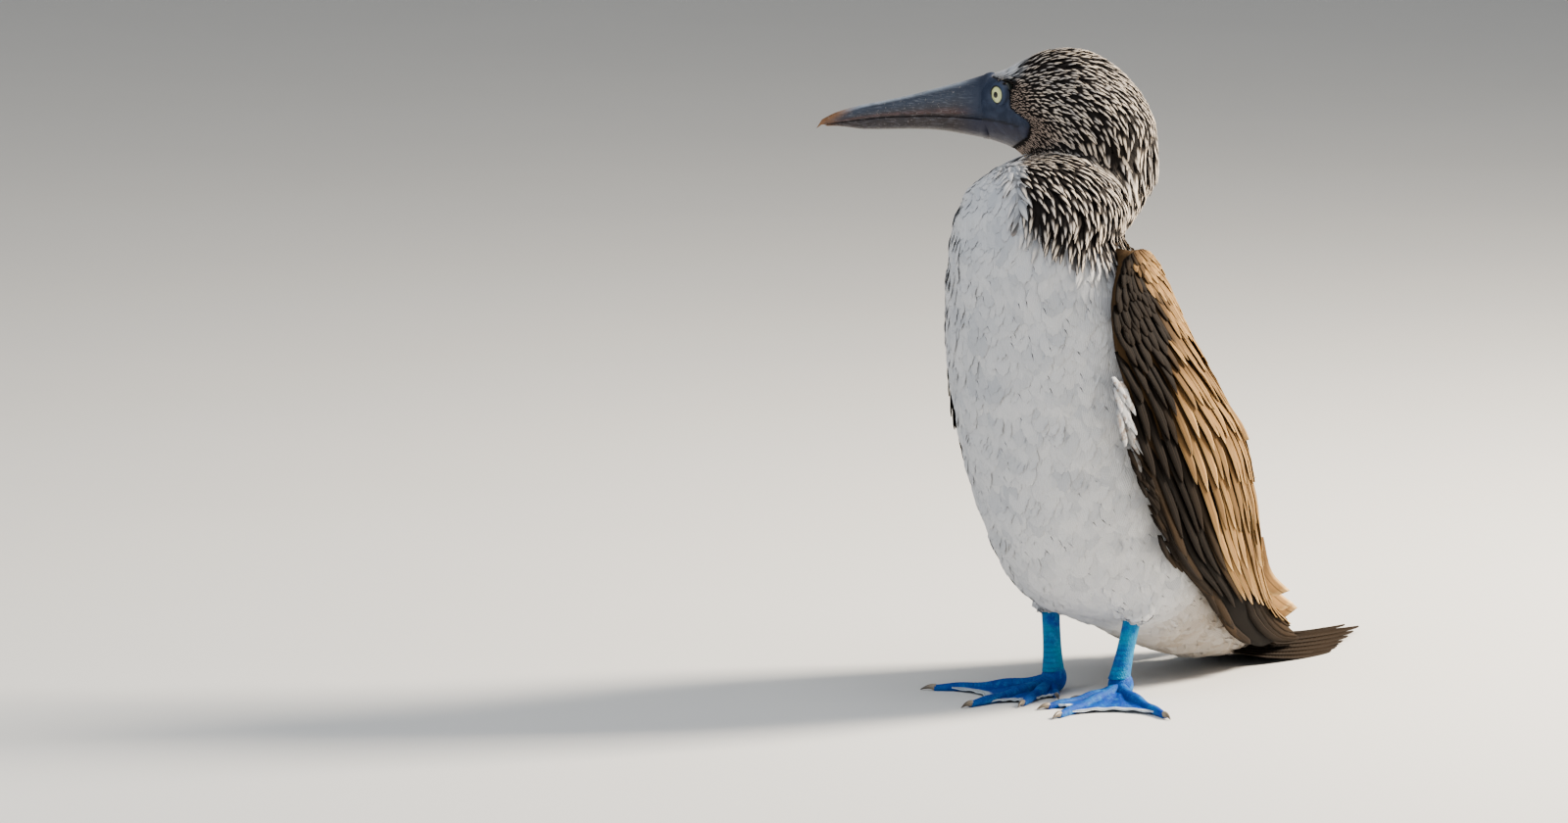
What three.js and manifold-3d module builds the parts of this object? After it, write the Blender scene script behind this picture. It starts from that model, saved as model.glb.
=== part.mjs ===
// Blue-footed booby, life size, standing with its head turned over its right shoulder.
// Millimetres, +Z up. The bird faces -Y and its left side is +X. The floor is z = 0, and the
// forms are drawn about a point midway between the two ankles.
import * as THREE from "three";
import { mergeVertices } from "three/addons/utils/BufferGeometryUtils.js";
import Module from "manifold-3d";

const wasm = await Module();
wasm.setup();

// Driving dimensions
const GAP = 0.3; // between two nodes that meet
const FLOOR = 0;
const FAR = 900; // half-spaces reach this far
const SEED = 7;

// Torso stations from the base of the neck to the root of the tail:
// belly y, belly z, back y, back z, half width
const TORSO = [
  [-36, 338, 2, 322, 20],
  [-78, 330, 12, 308, 44],
  [-96, 310, 14, 290, 55],
  [-104, 281, 13, 270, 58.5],
  [-101, 248, 31, 240, 67],
  [-97, 212, 50, 212, 72],
  [-90, 176, 62, 176, 71],
  [-82, 140, 78, 141, 67],
  [-71, 104, 95, 110, 61],
  [-52, 74, 108, 89, 55],
  [-28, 56, 119, 74, 50],
  [10, 43, 130, 61, 43],
  [54, 26, 141, 49, 35],
  [92, 13, 152, 39, 27],
  [130, 7, 163, 31, 21],
  [158, 6, 173, 24, 17],
  [180, 6, 186, 18, 13],
];
const TORSO_RINGS = 22;
const TORSO_SIDES = 24;
const TAIL_CUT_Y = 156;

// Neck stations: centre x, y, z, half width, half depth
const NECK = [
  [0, -36, 268, 50, 50],
  [0, -24, 288, 46, 46],
  [-1, -1, 306, 42, 43],
  [-2, 14, 328, 39, 40],
  [-6, 14, 350, 39, 39],
  [-13, 10, 370, 35, 35],
  [-19, 8, 386, 23, 23],
];
const NECK_RINGS = 9;
const NECK_SIDES = 22;

// Head: it looks to the bird's right, this far round from straight ahead
const HEAD_TURN = THREE.MathUtils.degToRad(66);
const HEAD_X = -3.6;
const HEAD_Y = 4.9;
// Head stations: distance forward, underside z, top z, half width
const HEAD = [
  [-40, 331, 354, 14],
  [-33, 319, 370, 26],
  [-20, 313, 384, 34],
  [0, 312, 396, 38],
  [20, 316, 396.5, 34.5],
  [34, 327, 392.5, 29],
  [45, 335.5, 386.5, 24.5],
  [53, 338.5, 383.5, 21],
  [63.5, 341.5, 380, 16.5],
];
const HEAD_RINGS = 14;
const HEAD_SIDES = 22;

// Bill, from the edge of the face to the tip
const BILL_START = 63.9;
const BILL_LENGTH = 104.3;
// Bill stations: share of its length, culmen z, mouth z, underside z, half width
const BILL = [
  [0, 380, 354.9, 341.7, 15.8],
  [0.12, 376, 355.4, 343.6, 13.4],
  [0.27, 371.6, 355.4, 345.6, 11.3],
  [0.42, 367.2, 354.6, 345.9, 9.4],
  [0.58, 363.2, 353.6, 345.4, 7.7],
  [0.74, 359.6, 351.6, 345, 6],
  [0.88, 355, 349.2, 344.7, 4.2],
  [0.965, 350.4, 346.9, 344.2, 2.4],
];
const BILL_TIP_Z = 344.6;
const LOWER_TIP_SHARE = 0.955;
const JAW = { rings: 11, arch: 8, lowerWidth: 0.93, fullness: 0.85, floor: 0.4, lowerTipRise: 0.4 };
const NOSTRIL = { from: 8, to: 30, rise: 0.42, size: 0.8, inset: 0.93 };

// Eyes: the iris shows through the lids, and its face turns this far forward
const EYE_RADIUS = 7.6;
const EYE_FORWARD = 51.5;
const EYE_SIDE = 20.4;
const EYE_Z = 371;
const EYE_TURN = THREE.MathUtils.degToRad(36);
const EYE_DEPTH = 5.9;
const LID_RING = 6.5;
const LID_THICK = 1.35;

// Line of the mouth on the bare face: distance forward, z
const MOUTH = [
  [37, 351.6],
  [46, 353.4],
  [56, 354.4],
  [70, 355.1],
];
const MOUTH_HEIGHT = 0.9;
const MOUTH_DEPTH = 1.4;
const MOUTH_REACH = 60; // past both sides of the head before it is trimmed to its depth

// Left wing guides from the wrist to the tip: leading edge, middle and trailing edge
const WING_LEAD = [
  [64, -53, 280], [66, -68, 254], [67, -69, 226], [70, -62, 199], [71, -50, 165],
  [70, -30, 133], [65, 2, 92], [53, 55, 61], [43, 92, 34], [37, 128, 17],
  [29, 162, 11], [23, 200, 8.5],
];
const WING_MIDDLE = [
  [65, -38, 284], [62, -15, 263], [68, 8, 226], [76, 28, 192], [75, 57, 158],
  [68, 80, 122], [57, 103, 90], [46, 125, 60], [37, 150, 38], [30, 175, 24],
  [24, 196, 16], [19, 214, 11],
];
const WING_TRAIL = [
  [50, -12, 279], [33, 20, 266], [15, 48, 232], [9, 65, 200], [8, 87, 166],
  [7, 110, 130], [6.5, 133, 97], [6.5, 154, 69], [6.5, 176, 46], [7, 194, 32],
  [10, 206, 23], [14, 218, 14],
];
const WING_LENGTH = 400;
// The right wing's leading edge is tucked this far in, under the feathers of the side
const RIGHT_TUCK = 9;
const TUCK_FADES = [0.35, 0.7];
// Core of the wing: grid, how far it reaches along and across, thickness inside, at the tip and
// at the edges, where it thins, and how far it lies under the feathers' surface
const WING_CORE = {
  rows: 13,
  columns: 7,
  end: 0.83,
  across: [0.02, 0.98],
  depth: 19,
  tip: 2.4,
  edge: 1.6,
  thins: [0.45, 0.72],
  drop: 1,
};
// Middle of the trunk, as a line up and forwards
const TRUNK_MIDDLE = { low: 80, rise: 195, y: [30, -36] };

// Tiers of wing feathers: rows from the wrist down, how many lie side by side in each row,
// where they start along and across the wing, their length, width and how far the tips lift
const WING_TIERS = [
  { start: 0.04, step: 0.13, rows: 2, count: 5, across: [0.08, 0.92], length: 66, width: 34, lift: 1.6 },
  { start: 0.3, step: 0, rows: 1, count: 5, across: [0.08, 0.92], length: 84, width: 31, lift: 1.9 },
  { start: 0.45, step: 0, rows: 1, count: 6, across: [0.08, 0.92], length: 100, width: 25, lift: 2 },
  { start: 0.6, step: 0, rows: 1, count: 5, across: [0.16, 0.92], length: 100, width: 21, lift: 1.6 },
];
const WING_VANE = { thick: 0.8, sink: 2.6, tilt: 0.95 };
const PRIMARIES = { count: 5, start: 0.66, first: 0.86, last: 0.985, across: [0.86, 0.2], width: 20 };

// Tail: pointed feathers in a closed fan laid along the floor
const TAIL = {
  pairs: 6,
  rootY: 150,
  longest: 152,
  step: 15, // how much shorter each pair is than the one inside it
  width: 19,
  thick: 1.1,
  slope: 0.5, // of its roof, at the root
  flatter: 0.25, // share of that slope left at the tips
  root: [2, 2.1], // middle feather's place to the side at its root, and each next one's step
  splay: [3.3, 3.4], // the same for how far the tips spread
  low: 2.2, // height at the tips
  drop: 12.5, // from the root to the floor
  tier: 0.55, // each inner pair lies this far over the next
};

// Legs and feet
const ANKLE_X = 24.7;
const ANKLE_Z = 15;
const KNEE = { x: 31.7, y: 8, z: 56 };
const SHANK = { wide: 4.7, deep: 6.4, lowY: 1.5, lowFlare: 0.26, highFlare: 0.1, over: 2 };
// Thigh: heights, radii, how far it leans in and back over its height, how deep it is for its
// width, and how far its ends round over
const THIGH = {
  low: 47.5,
  high: 66,
  lowRadius: 8.2,
  highRadius: 15,
  lean: 4,
  deep: 1.15,
  lowEnd: 1.5,
  highEnd: 6,
};
// Toes: angle outward from straight ahead in degrees, length, thickness at root and tip
const TOES = [
  { angle: -42, length: 24, root: 4.2, tip: 2.4 },
  { angle: -16, length: 56, root: 4.8, tip: 2.7 },
  { angle: 6, length: 76, root: 5.2, tip: 2.9 },
  { angle: 57, length: 72, root: 5.2, tip: 2.9 },
];
// Toes rest flat: their middles lie this share of their thickness up, and the joints swell them
const TOE = { rest: 0.72, tall: 0.95, joints: 5, swell: 0.09, rise: 3.5, steps: 7 };
const HEEL = { radius: 8.2, wide: 0.92, long: 1.05, tall: 1.35, y: 2.5, z: 8.5 };
const CLAW = { length: 9, thick: 0.78, tall: 0.9, wide: 0.8, arch: 0.9, tipZ: 0.5 };
// Webs: height and thickness, how far they rise to the ankle, how far each free edge is drawn in,
// and the shares of the toes' length between which they run
const WEB = {
  low: 0.5,
  thick: 1.5,
  rise: 8,
  sag: [0.16, 0.2, 0.26],
  from: 0.08,
  reach: 0.93,
  rows: 3,
  columns: 4,
};

// Finishes
const FINISHES = {
  breast: { color: 0xf1eee6, roughness: 0.9 },
  hackles: { color: 0x8c7866, roughness: 0.85 },
  bare_face: { color: 0x3d4556, roughness: 0.55 },
  bill: { color: 0x6f7580, roughness: 0.45 },
  iris: { color: 0xd9dc94, roughness: 0.1 },
  wing: { color: 0x6b543c, roughness: 0.8 },
  tail: { color: 0x3d3128, roughness: 0.75 },
  thigh: { color: 0xebe6da, roughness: 0.9 },
  shank: { color: 0x3f9fc8, roughness: 0.5 },
  web: { color: 0x2d6fd0, roughness: 0.5 },
  claw: { color: 0x6b5f52, roughness: 0.4 },
};

const point = (x, y, z) => new THREE.Vector3(x, y, z);
const lerp = THREE.MathUtils.lerp;
const clamp = THREE.MathUtils.clamp;

// The same run of random numbers each time
function randomRun(seed) {
  let state = seed >>> 0;
  return () => {
    state = (Math.imul(state, 1664525) + 1013904223) >>> 0;
    return state / 4294967296;
  };
}

// Values of a table of stations at a share of the way along it, on a smooth curve
function station(table, share) {
  const last = table.length - 1;
  const place = clamp(share, 0, 1) * last;
  const i = Math.min(Math.floor(place), last - 1);
  const f = place - i;
  const rows = [table[Math.max(i - 1, 0)], table[i], table[i + 1], table[Math.min(i + 2, last)]];
  return table[0].map((_, k) => {
    const [a, b, c, d] = rows.map((row) => row[k]);
    const turn = (2 * a - 5 * b + 4 * c - d) * f + (3 * b - 3 * c + d - a) * f * f;
    return b + 0.5 * f * (c - a + turn);
  });
}

// A closed solid from rings of points, each end closed to its apex or to the ring's middle
function loft(rings, startApex, endApex) {
  const sides = rings[0].length;
  const middle = (ring) => ring.reduce((sum, p) => sum.add(p), point(0, 0, 0)).divideScalar(sides);
  const points = rings.flat();
  const first = points.length;
  points.push(startApex ?? middle(rings[0]), endApex ?? middle(rings.at(-1)));
  const index = [];
  for (let i = 0; i < rings.length - 1; i++) {
    for (let j = 0; j < sides; j++) {
      const a = i * sides + j;
      const b = i * sides + ((j + 1) % sides);
      index.push(a, b, b + sides, a, b + sides, a + sides);
    }
  }
  const lastRing = (rings.length - 1) * sides;
  for (let j = 0; j < sides; j++) {
    const next = (j + 1) % sides;
    index.push(first, next, j);
    index.push(first + 1, lastRing + j, lastRing + next);
  }
  return solidFrom(points, index);
}

// A closed solid between an upper and a lower grid of points with the same layout
function slab(upper, lower) {
  const rows = upper.length;
  const columns = upper[0].length;
  const points = [...upper.flat(), ...lower.flat()];
  const under = rows * columns;
  const index = [];
  const at = (i, j) => i * columns + j;
  for (let i = 0; i < rows - 1; i++) {
    for (let j = 0; j < columns - 1; j++) {
      const [a, b, c, d] = [at(i, j), at(i + 1, j), at(i + 1, j + 1), at(i, j + 1)];
      index.push(a, b, c, a, c, d);
      index.push(a + under, c + under, b + under, a + under, d + under, c + under);
    }
  }
  const rim = [];
  for (let i = 0; i < rows - 1; i++) rim.push(at(i, 0));
  for (let j = 0; j < columns - 1; j++) rim.push(at(rows - 1, j));
  for (let i = rows - 1; i > 0; i--) rim.push(at(i, columns - 1));
  for (let j = columns - 1; j > 0; j--) rim.push(at(0, j));
  rim.forEach((a, k) => {
    const b = rim[(k + 1) % rim.length];
    index.push(a, a + under, b + under, a, b + under, b);
  });
  return solidFrom(points, index);
}

// Six times the volume that the triangles enclose, negative where they face inwards
function signedVolume(points, index) {
  let sum = 0;
  for (let i = 0; i < index.length; i += 3) {
    const [a, b, c] = [points[index[i]], points[index[i + 1]], points[index[i + 2]]];
    sum += a.dot(point(0, 0, 0).crossVectors(b, c));
  }
  return sum;
}

function solidFrom(points, index) {
  const faces = signedVolume(points, index) < 0 ? index.toReversed() : index;
  const vertProperties = new Float32Array(points.flatMap((p) => [p.x, p.y, p.z]));
  return new wasm.Manifold(new wasm.Mesh({ numProp: 3, vertProperties, triVerts: new Uint32Array(faces) }));
}

// A three.js geometry as a solid
function solidOf(geometry) {
  const bare = geometry.clone();
  bare.deleteAttribute("normal");
  bare.deleteAttribute("uv");
  const merged = mergeVertices(bare, 1e-4);
  const vertProperties = new Float32Array(merged.attributes.position.array);
  const triVerts = new Uint32Array(merged.index.array);
  return new wasm.Manifold(new wasm.Mesh({ numProp: 3, vertProperties, triVerts }));
}

// A solid as a three.js geometry
function geometryOf(solid) {
  const mesh = solid.getMesh();
  const place = new Float32Array(mesh.numVert * 3);
  for (let i = 0; i < mesh.numVert; i++) {
    const from = i * mesh.numProp;
    place.set(mesh.vertProperties.subarray(from, from + 3), i * 3);
  }
  const geometry = new THREE.BufferGeometry();
  geometry.setAttribute("position", new THREE.BufferAttribute(place, 3));
  geometry.setIndex(new THREE.BufferAttribute(mesh.triVerts, 1));
  geometry.computeVertexNormals();
  return geometry;
}

const joined = (solids) => solids.reduce((sum, solid) => sum.add(solid));

// The largest closed surface of a solid: it fills sealed hollows and drops loose scraps
function largest(solid) {
  return solid.decompose().reduce((best, body) => (body.volume() > best.volume() ? body : best));
}

// Everything on the side of a plane that its normal points to, moved along it by an offset
function halfSpace(onPlane, normal, offset = 0) {
  const box = new THREE.BoxGeometry(2 * FAR, 2 * FAR, 2 * FAR);
  const up = normal.clone().normalize();
  const turn = new THREE.Quaternion().setFromUnitVectors(point(0, 0, 1), up);
  const centre = onPlane.clone().addScaledVector(up, FAR + offset);
  box.applyMatrix4(new THREE.Matrix4().compose(centre, turn, point(1, 1, 1)));
  return solidOf(box);
}

const aboveFloor = halfSpace(point(0, 0, FLOOR), point(0, 0, 1));

// A ring of points about a centre, spanned by two half axes; a fullness over 1 squares it
function oval(centre, one, two, sides, fullness = 1) {
  return Array.from({ length: sides }, (_, k) => {
    const turn = (2 * Math.PI * k) / sides;
    const shape = (v) => Math.sign(v) * Math.abs(v) ** (1 / fullness);
    return centre
      .clone()
      .addScaledVector(one, shape(Math.cos(turn)))
      .addScaledVector(two, shape(Math.sin(turn)));
  });
}

// Torso with the core of the tail, grown outwards where a neighbour is cut clear of it
function torsoForm(grow = 0) {
  const rings = [];
  for (let i = 0; i < TORSO_RINGS; i++) {
    const [bellyY, bellyZ, backY, backZ, half] = station(TORSO, i / (TORSO_RINGS - 1));
    const belly = point(0, bellyY, bellyZ);
    const back = point(0, backY, backZ);
    const centre = belly.clone().lerp(back, 0.5);
    const deep = back.clone().sub(centre);
    deep.setLength(deep.length() + grow);
    rings.push(oval(centre, deep, point(half + grow, 0, 0), TORSO_SIDES));
  }
  return loft(rings);
}

function neckForm(grow = 0) {
  const rings = [];
  for (let i = 0; i < NECK_RINGS; i++) {
    const [x, y, z, half, deep] = station(NECK, i / (NECK_RINGS - 1));
    rings.push(oval(point(x, y, z), point(0, deep + grow, 0), point(half + grow, 0, 0), NECK_SIDES));
  }
  const top = NECK.at(-1);
  return loft(rings, null, point(top[0], top[1], top[2] + 4));
}

const forward = point(-Math.sin(HEAD_TURN), -Math.cos(HEAD_TURN), 0);
const leftward = point(Math.cos(HEAD_TURN), -Math.sin(HEAD_TURN), 0);

// A place on the head from its distance forward, to its left, and its height
function onHead(ahead, left, z) {
  return point(HEAD_X, HEAD_Y, z).addScaledVector(forward, ahead).addScaledVector(leftward, left);
}

function headForm(grow = 0) {
  const rings = [];
  for (let i = 0; i < HEAD_RINGS; i++) {
    const [ahead, low, high, half] = station(HEAD, i / (HEAD_RINGS - 1));
    const tall = point(0, 0, (high - low) / 2 + grow);
    const wide = leftward.clone().multiplyScalar(half + grow);
    rings.push(oval(onHead(ahead, 0, (low + high) / 2), tall, wide, HEAD_SIDES));
  }
  return loft(rings, onHead(HEAD[0][0] - 2 - grow, 0, 343));
}

// One jaw of the bill: a roof over the mouth line, or a keel under it
function jaw(upper) {
  const stations = upper ? BILL : BILL.map(([share, ...rest]) => [share * LOWER_TIP_SHARE, ...rest]);
  const rings = [];
  for (let i = 0; i < JAW.rings; i++) {
    const [share, top, mouth, under, half] = station(stations, i / (JAW.rings - 1));
    const ahead = BILL_START + share * BILL_LENGTH;
    const edge = upper ? mouth + GAP / 2 : mouth - GAP / 2;
    const rim = upper ? top : under;
    const ring = [];
    for (let k = 0; k <= JAW.arch; k++) {
      const turn = (Math.PI * k) / JAW.arch;
      const side = half * (upper ? 1 : JAW.lowerWidth) * Math.cos(turn);
      ring.push(onHead(ahead, side, edge + (rim - edge) * Math.sin(turn) ** JAW.fullness));
    }
    ring.push(onHead(ahead, -half * JAW.floor, edge), onHead(ahead, half * JAW.floor, edge));
    rings.push(ring);
  }
  const tip = BILL_START + BILL_LENGTH * (upper ? 1 : LOWER_TIP_SHARE);
  return loft(rings, null, onHead(tip, 0, upper ? BILL_TIP_Z : BILL_TIP_Z + JAW.lowerTipRise));
}

// A thin closed groove low on each side of the upper jaw, where other birds have open nostrils
function nostrilGroove(side) {
  const rings = [];
  for (const share of [0, 0.25, 0.5, 0.75, 1]) {
    const ahead = BILL_START + lerp(NOSTRIL.from, NOSTRIL.to, share);
    const [, top, mouth, , half] = station(BILL, (ahead - BILL_START) / BILL_LENGTH + 0.06);
    const z = lerp(mouth, top, NOSTRIL.rise);
    const size = NOSTRIL.size * Math.sin(Math.PI * lerp(0.15, 0.85, share));
    const centre = onHead(ahead, side * half * NOSTRIL.inset, z);
    rings.push(oval(centre, point(0, 0, size), leftward.clone().multiplyScalar(size * 1.4), 6));
  }
  return loft(rings);
}

const eyeAxis = (side) =>
  forward
    .clone()
    .multiplyScalar(Math.sin(EYE_TURN))
    .addScaledVector(leftward, side * Math.cos(EYE_TURN));

const eyeCentre = (side) =>
  onHead(EYE_FORWARD, side * EYE_SIDE, EYE_Z).addScaledVector(eyeAxis(side), -EYE_DEPTH);

function eyeForm(side, grow = 0) {
  const ball = new THREE.SphereGeometry(EYE_RADIUS + grow, 14, 9);
  ball.applyQuaternion(new THREE.Quaternion().setFromUnitVectors(point(0, 1, 0), eyeAxis(side)));
  ball.translate(...eyeCentre(side));
  return solidOf(ball);
}

// The ring of bare skin round an eye that makes its two lids
function lidRing(side) {
  const ring = new THREE.TorusGeometry(LID_RING, LID_THICK, 6, 16);
  ring.applyQuaternion(new THREE.Quaternion().setFromUnitVectors(point(0, 0, 1), eyeAxis(side)));
  const rim = Math.sqrt(EYE_RADIUS ** 2 - LID_RING ** 2);
  ring.translate(...eyeCentre(side).addScaledVector(eyeAxis(side), rim));
  return solidOf(ring);
}

// The groove that carries the line of the mouth on across the bare face
function mouthGroove() {
  const rows = MOUTH.map(([ahead, z]) => {
    const half = MOUTH_HEIGHT / 2;
    return [
      onHead(ahead, -MOUTH_REACH, z + half),
      onHead(ahead, MOUTH_REACH, z + half),
      onHead(ahead, MOUTH_REACH, z - half),
      onHead(ahead, -MOUTH_REACH, z - half),
    ];
  });
  return loft(rows).subtract(headForm(-MOUTH_DEPTH));
}

// Wing surface: a smooth sheet through its three guides; along and across both run 0 to 1
function wingPlace(along, across, side = 1) {
  const lead = point(...station(WING_LEAD, along));
  if (side < 0) lead.x -= RIGHT_TUCK * (1 - THREE.MathUtils.smoothstep(along, ...TUCK_FADES));
  const middle = point(...station(WING_MIDDLE, along));
  const trail = point(...station(WING_TRAIL, along));
  const t = across;
  return lead
    .multiplyScalar(2 * t * t - 3 * t + 1)
    .addScaledVector(middle, 4 * t - 4 * t * t)
    .addScaledVector(trail, 2 * t * t - t);
}

function wingFrame(along, across, side) {
  const small = 0.01;
  const at = (a, t) => wingPlace(a, t, side);
  const down = at(along + small, across).sub(at(along - small, across)).normalize();
  const over = at(along, across + small).sub(at(along, across - small)).normalize();
  const out = point(0, 0, 0).crossVectors(down, over).normalize();
  return { place: at(along, across), over, out };
}

// The body of the wing under its feathers: its inner face leans towards the middle of the trunk
function wingCore(side) {
  const outer = [];
  const inner = [];
  for (let i = 0; i < WING_CORE.rows; i++) {
    const along = (WING_CORE.end * i) / (WING_CORE.rows - 1);
    const thin = THREE.MathUtils.smoothstep(along, ...WING_CORE.thins);
    const deep = lerp(WING_CORE.depth, WING_CORE.tip, thin);
    const outerRow = [];
    const innerRow = [];
    for (let k = 0; k <= WING_CORE.columns; k++) {
      const across = lerp(...WING_CORE.across, k / WING_CORE.columns);
      const { place, out } = wingFrame(along, across, side);
      place.addScaledVector(out, -WING_CORE.drop);
      const trunk = lerp(...TRUNK_MIDDLE.y, (place.z - TRUNK_MIDDLE.low) / TRUNK_MIDDLE.rise);
      const inwards = point(0, trunk, place.z).sub(place).normalize().lerp(out.negate(), thin);
      const belly = Math.sin(Math.PI * clamp(across, 0.04, 0.96)) ** 0.7;
      outerRow.push(place);
      innerRow.push(place.clone().addScaledVector(inwards, lerp(WING_CORE.edge, deep, belly)));
    }
    outer.push(outerRow);
    inner.push(innerRow);
  }
  return slab(outer, inner);
}

// Half width of a rounded vane and of a pointed one, by the share of its length
const ROUNDED = [[0, 0.62], [0.42, 1], [0.86, 0.8], [1, 0.12]];
const POINTED = [[0, 0.62], [0.32, 1], [0.66, 0.84], [0.89, 0.48], [1, 0.06]];

// A thin closed vane; corner gives a place on it from the row, the side and the face
function vane(outline, width, corner) {
  const face = (up) =>
    outline.map(([share, wide]) => [-1, 1].map((side) => corner(share, side, (width / 2) * wide, up)));
  return slab(face(1), face(-1));
}

// One feather that follows the wing's surface, its root sunk and its tip lifted
function wingVane(wing, from, to, width, lift, outline = ROUNDED) {
  const { thick, sink, tilt } = WING_VANE;
  return vane(outline, width, (share, side, half, up) => {
    const { place, over, out } = wingFrame(...[0, 1].map((k) => lerp(from[k], to[k], share)), wing);
    const height = lerp(-sink, lift, Math.min(1, share * 1.25));
    return place
      .addScaledVector(over, side * half)
      .addScaledVector(out, height + (up * thick) / 2 - side * tilt);
  });
}

function wingForm(side) {
  const random = randomRun(SEED + side);
  const jitter = (size) => (random() - 0.5) * size;
  const vanes = [];
  for (const tier of WING_TIERS) {
    for (let row = 0; row < tier.rows; row++) {
      const stagger = row % 2 ? 0.5 : 0;
      for (let k = 0; k < tier.count; k++) {
        const share = (k + stagger) / (tier.count - 0.5);
        const across = lerp(tier.across[0], tier.across[1], Math.min(share, 1));
        const along = tier.start + row * tier.step + jitter(0.012);
        const length = tier.length * (1 + jitter(0.12));
        const end = Math.min(along + length / WING_LENGTH, 0.97);
        const drift = across + (0.5 - across) * 0.08 + jitter(0.02);
        vanes.push(wingVane(side, [along, across], [end, drift], tier.width, tier.lift));
      }
    }
  }
  for (let k = 0; k < PRIMARIES.count; k++) {
    const share = k / (PRIMARIES.count - 1);
    const across = lerp(...PRIMARIES.across, share);
    const end = lerp(PRIMARIES.first, PRIMARIES.last, share);
    const from = [PRIMARIES.start, lerp(across, 0.5, 0.3)];
    const to = [end, lerp(across, 0.5, 0.4)];
    vanes.push(wingVane(side, from, to, PRIMARIES.width, 0.4 - 0.5 * share, POINTED));
  }
  return joined([wingCore(side), ...vanes]);
}

// A tail feather: it leaves the rump, comes down to the floor and lies along it
function tailVane(side, rank, random) {
  const length = TAIL.longest - TAIL.step * rank;
  const place = ([first, step]) => side * (first + step * rank);
  const width = TAIL.width * (1 + (random() - 0.5) * 0.08);
  return vane(POINTED, width, (share, edge, half, up) => {
    const y = TAIL.rootY + length * share;
    const x = place(TAIL.root) + place(TAIL.splay) * share;
    const tier = (TAIL.pairs - rank) * TAIL.tier * (1 - share * 0.6);
    const ridge = TAIL.low + TAIL.drop * (1 - share) ** 1.6 + tier;
    const roof = TAIL.slope * lerp(1, TAIL.flatter, share);
    const z = Math.max(TAIL.thick / 2 + 0.1, ridge - Math.abs(x) * roof * 0.55);
    const lean = side * roof * half * 0.5;
    const height = Math.max(z + (up * TAIL.thick) / 2 - edge * lean, up > 0 ? TAIL.thick : 0);
    return point(x + edge * half, y, height);
  });
}

function tailForm(core) {
  const random = randomRun(SEED * 3);
  const vanes = [];
  for (let rank = TAIL.pairs - 1; rank >= 0; rank--) {
    for (const side of [-1, 1]) vanes.push(tailVane(side, rank, random));
  }
  return joined([core, ...vanes]);
}

const towardToe = (side, angle) => {
  const turn = THREE.MathUtils.degToRad(angle);
  return point(side * Math.sin(turn), -Math.cos(turn), 0);
};

// A toe with its joints, flat where it rests
function toeForm(side, toe) {
  const way = towardToe(side, toe.angle);
  const across = point(-way.y, way.x, 0);
  const rings = [];
  for (let i = 0; i <= TOE.steps; i++) {
    const share = i / TOE.steps;
    const joint = 1 + TOE.swell * Math.cos(share * Math.PI * TOE.joints);
    const thick = lerp(toe.root, toe.tip, share) * joint;
    const centre = point(side * ANKLE_X, 0, thick * TOE.rest + TOE.rise * (1 - share) ** 3);
    centre.addScaledVector(way, toe.length * share);
    rings.push(oval(centre, point(0, 0, thick * TOE.tall), across.clone().multiplyScalar(thick), 8));
  }
  return loft(rings);
}

// The web between two toes, lifted towards the ankle, with its free edge drawn in
function webForm(side, one, two, sag) {
  const ankle = point(side * ANKLE_X, 0, 0);
  const end = (toe) => ankle.clone().addScaledVector(towardToe(side, toe.angle), toe.length * WEB.reach);
  const [a, b] = [end(one), end(two)];
  const pull = a.clone().lerp(b, 0.5).lerp(ankle, 2 * sag);
  const grid = (top) =>
    Array.from({ length: WEB.rows + 1 }, (_, i) =>
      Array.from({ length: WEB.columns + 1 }, (_, j) => {
        const t = j / WEB.columns;
        const edge = a.clone().multiplyScalar((1 - t) ** 2);
        edge.addScaledVector(pull, 2 * t * (1 - t)).addScaledVector(b, t * t);
        const share = lerp(WEB.from, 1, i / WEB.rows);
        const place = ankle.clone().lerp(edge, share);
        const low = WEB.low + WEB.rise * (1 - share) ** 2.2;
        place.z = low + (top ? WEB.thick : 0);
        return place;
      }),
    );
  return slab(grid(true), grid(false));
}

function footForm(side) {
  const heel = new THREE.SphereGeometry(HEEL.radius, 10, 7);
  heel.scale(HEEL.wide, HEEL.long, HEEL.tall);
  heel.translate(side * ANKLE_X, HEEL.y, HEEL.z);
  const pieces = [solidOf(heel), ...TOES.map((toe) => toeForm(side, toe))];
  TOES.slice(1).forEach((toe, k) => pieces.push(webForm(side, TOES[k], toe, WEB.sag[k])));
  return largest(joined(pieces).intersect(aboveFloor));
}

function clawForm(side, toe) {
  const way = towardToe(side, toe.angle);
  const across = point(-way.y, way.x, 0);
  const start = point(side * ANKLE_X, 0, toe.tip * CLAW.thick).addScaledVector(way, toe.length + GAP);
  const at = (share) => start.clone().addScaledVector(way, CLAW.length * share);
  const rings = [0, 0.3, 0.6, 0.85].map((share) => {
    const thick = toe.tip * CLAW.thick * (1 - share * 0.85);
    const centre = at(share);
    centre.z += CLAW.arch * (Math.sin(Math.PI * share) - share);
    const wide = across.clone().multiplyScalar(thick * CLAW.wide);
    return oval(centre, point(0, 0, thick * CLAW.tall), wide, 8);
  });
  const tip = at(1);
  tip.z = CLAW.tipZ;
  return loft(rings, null, tip);
}

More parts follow.
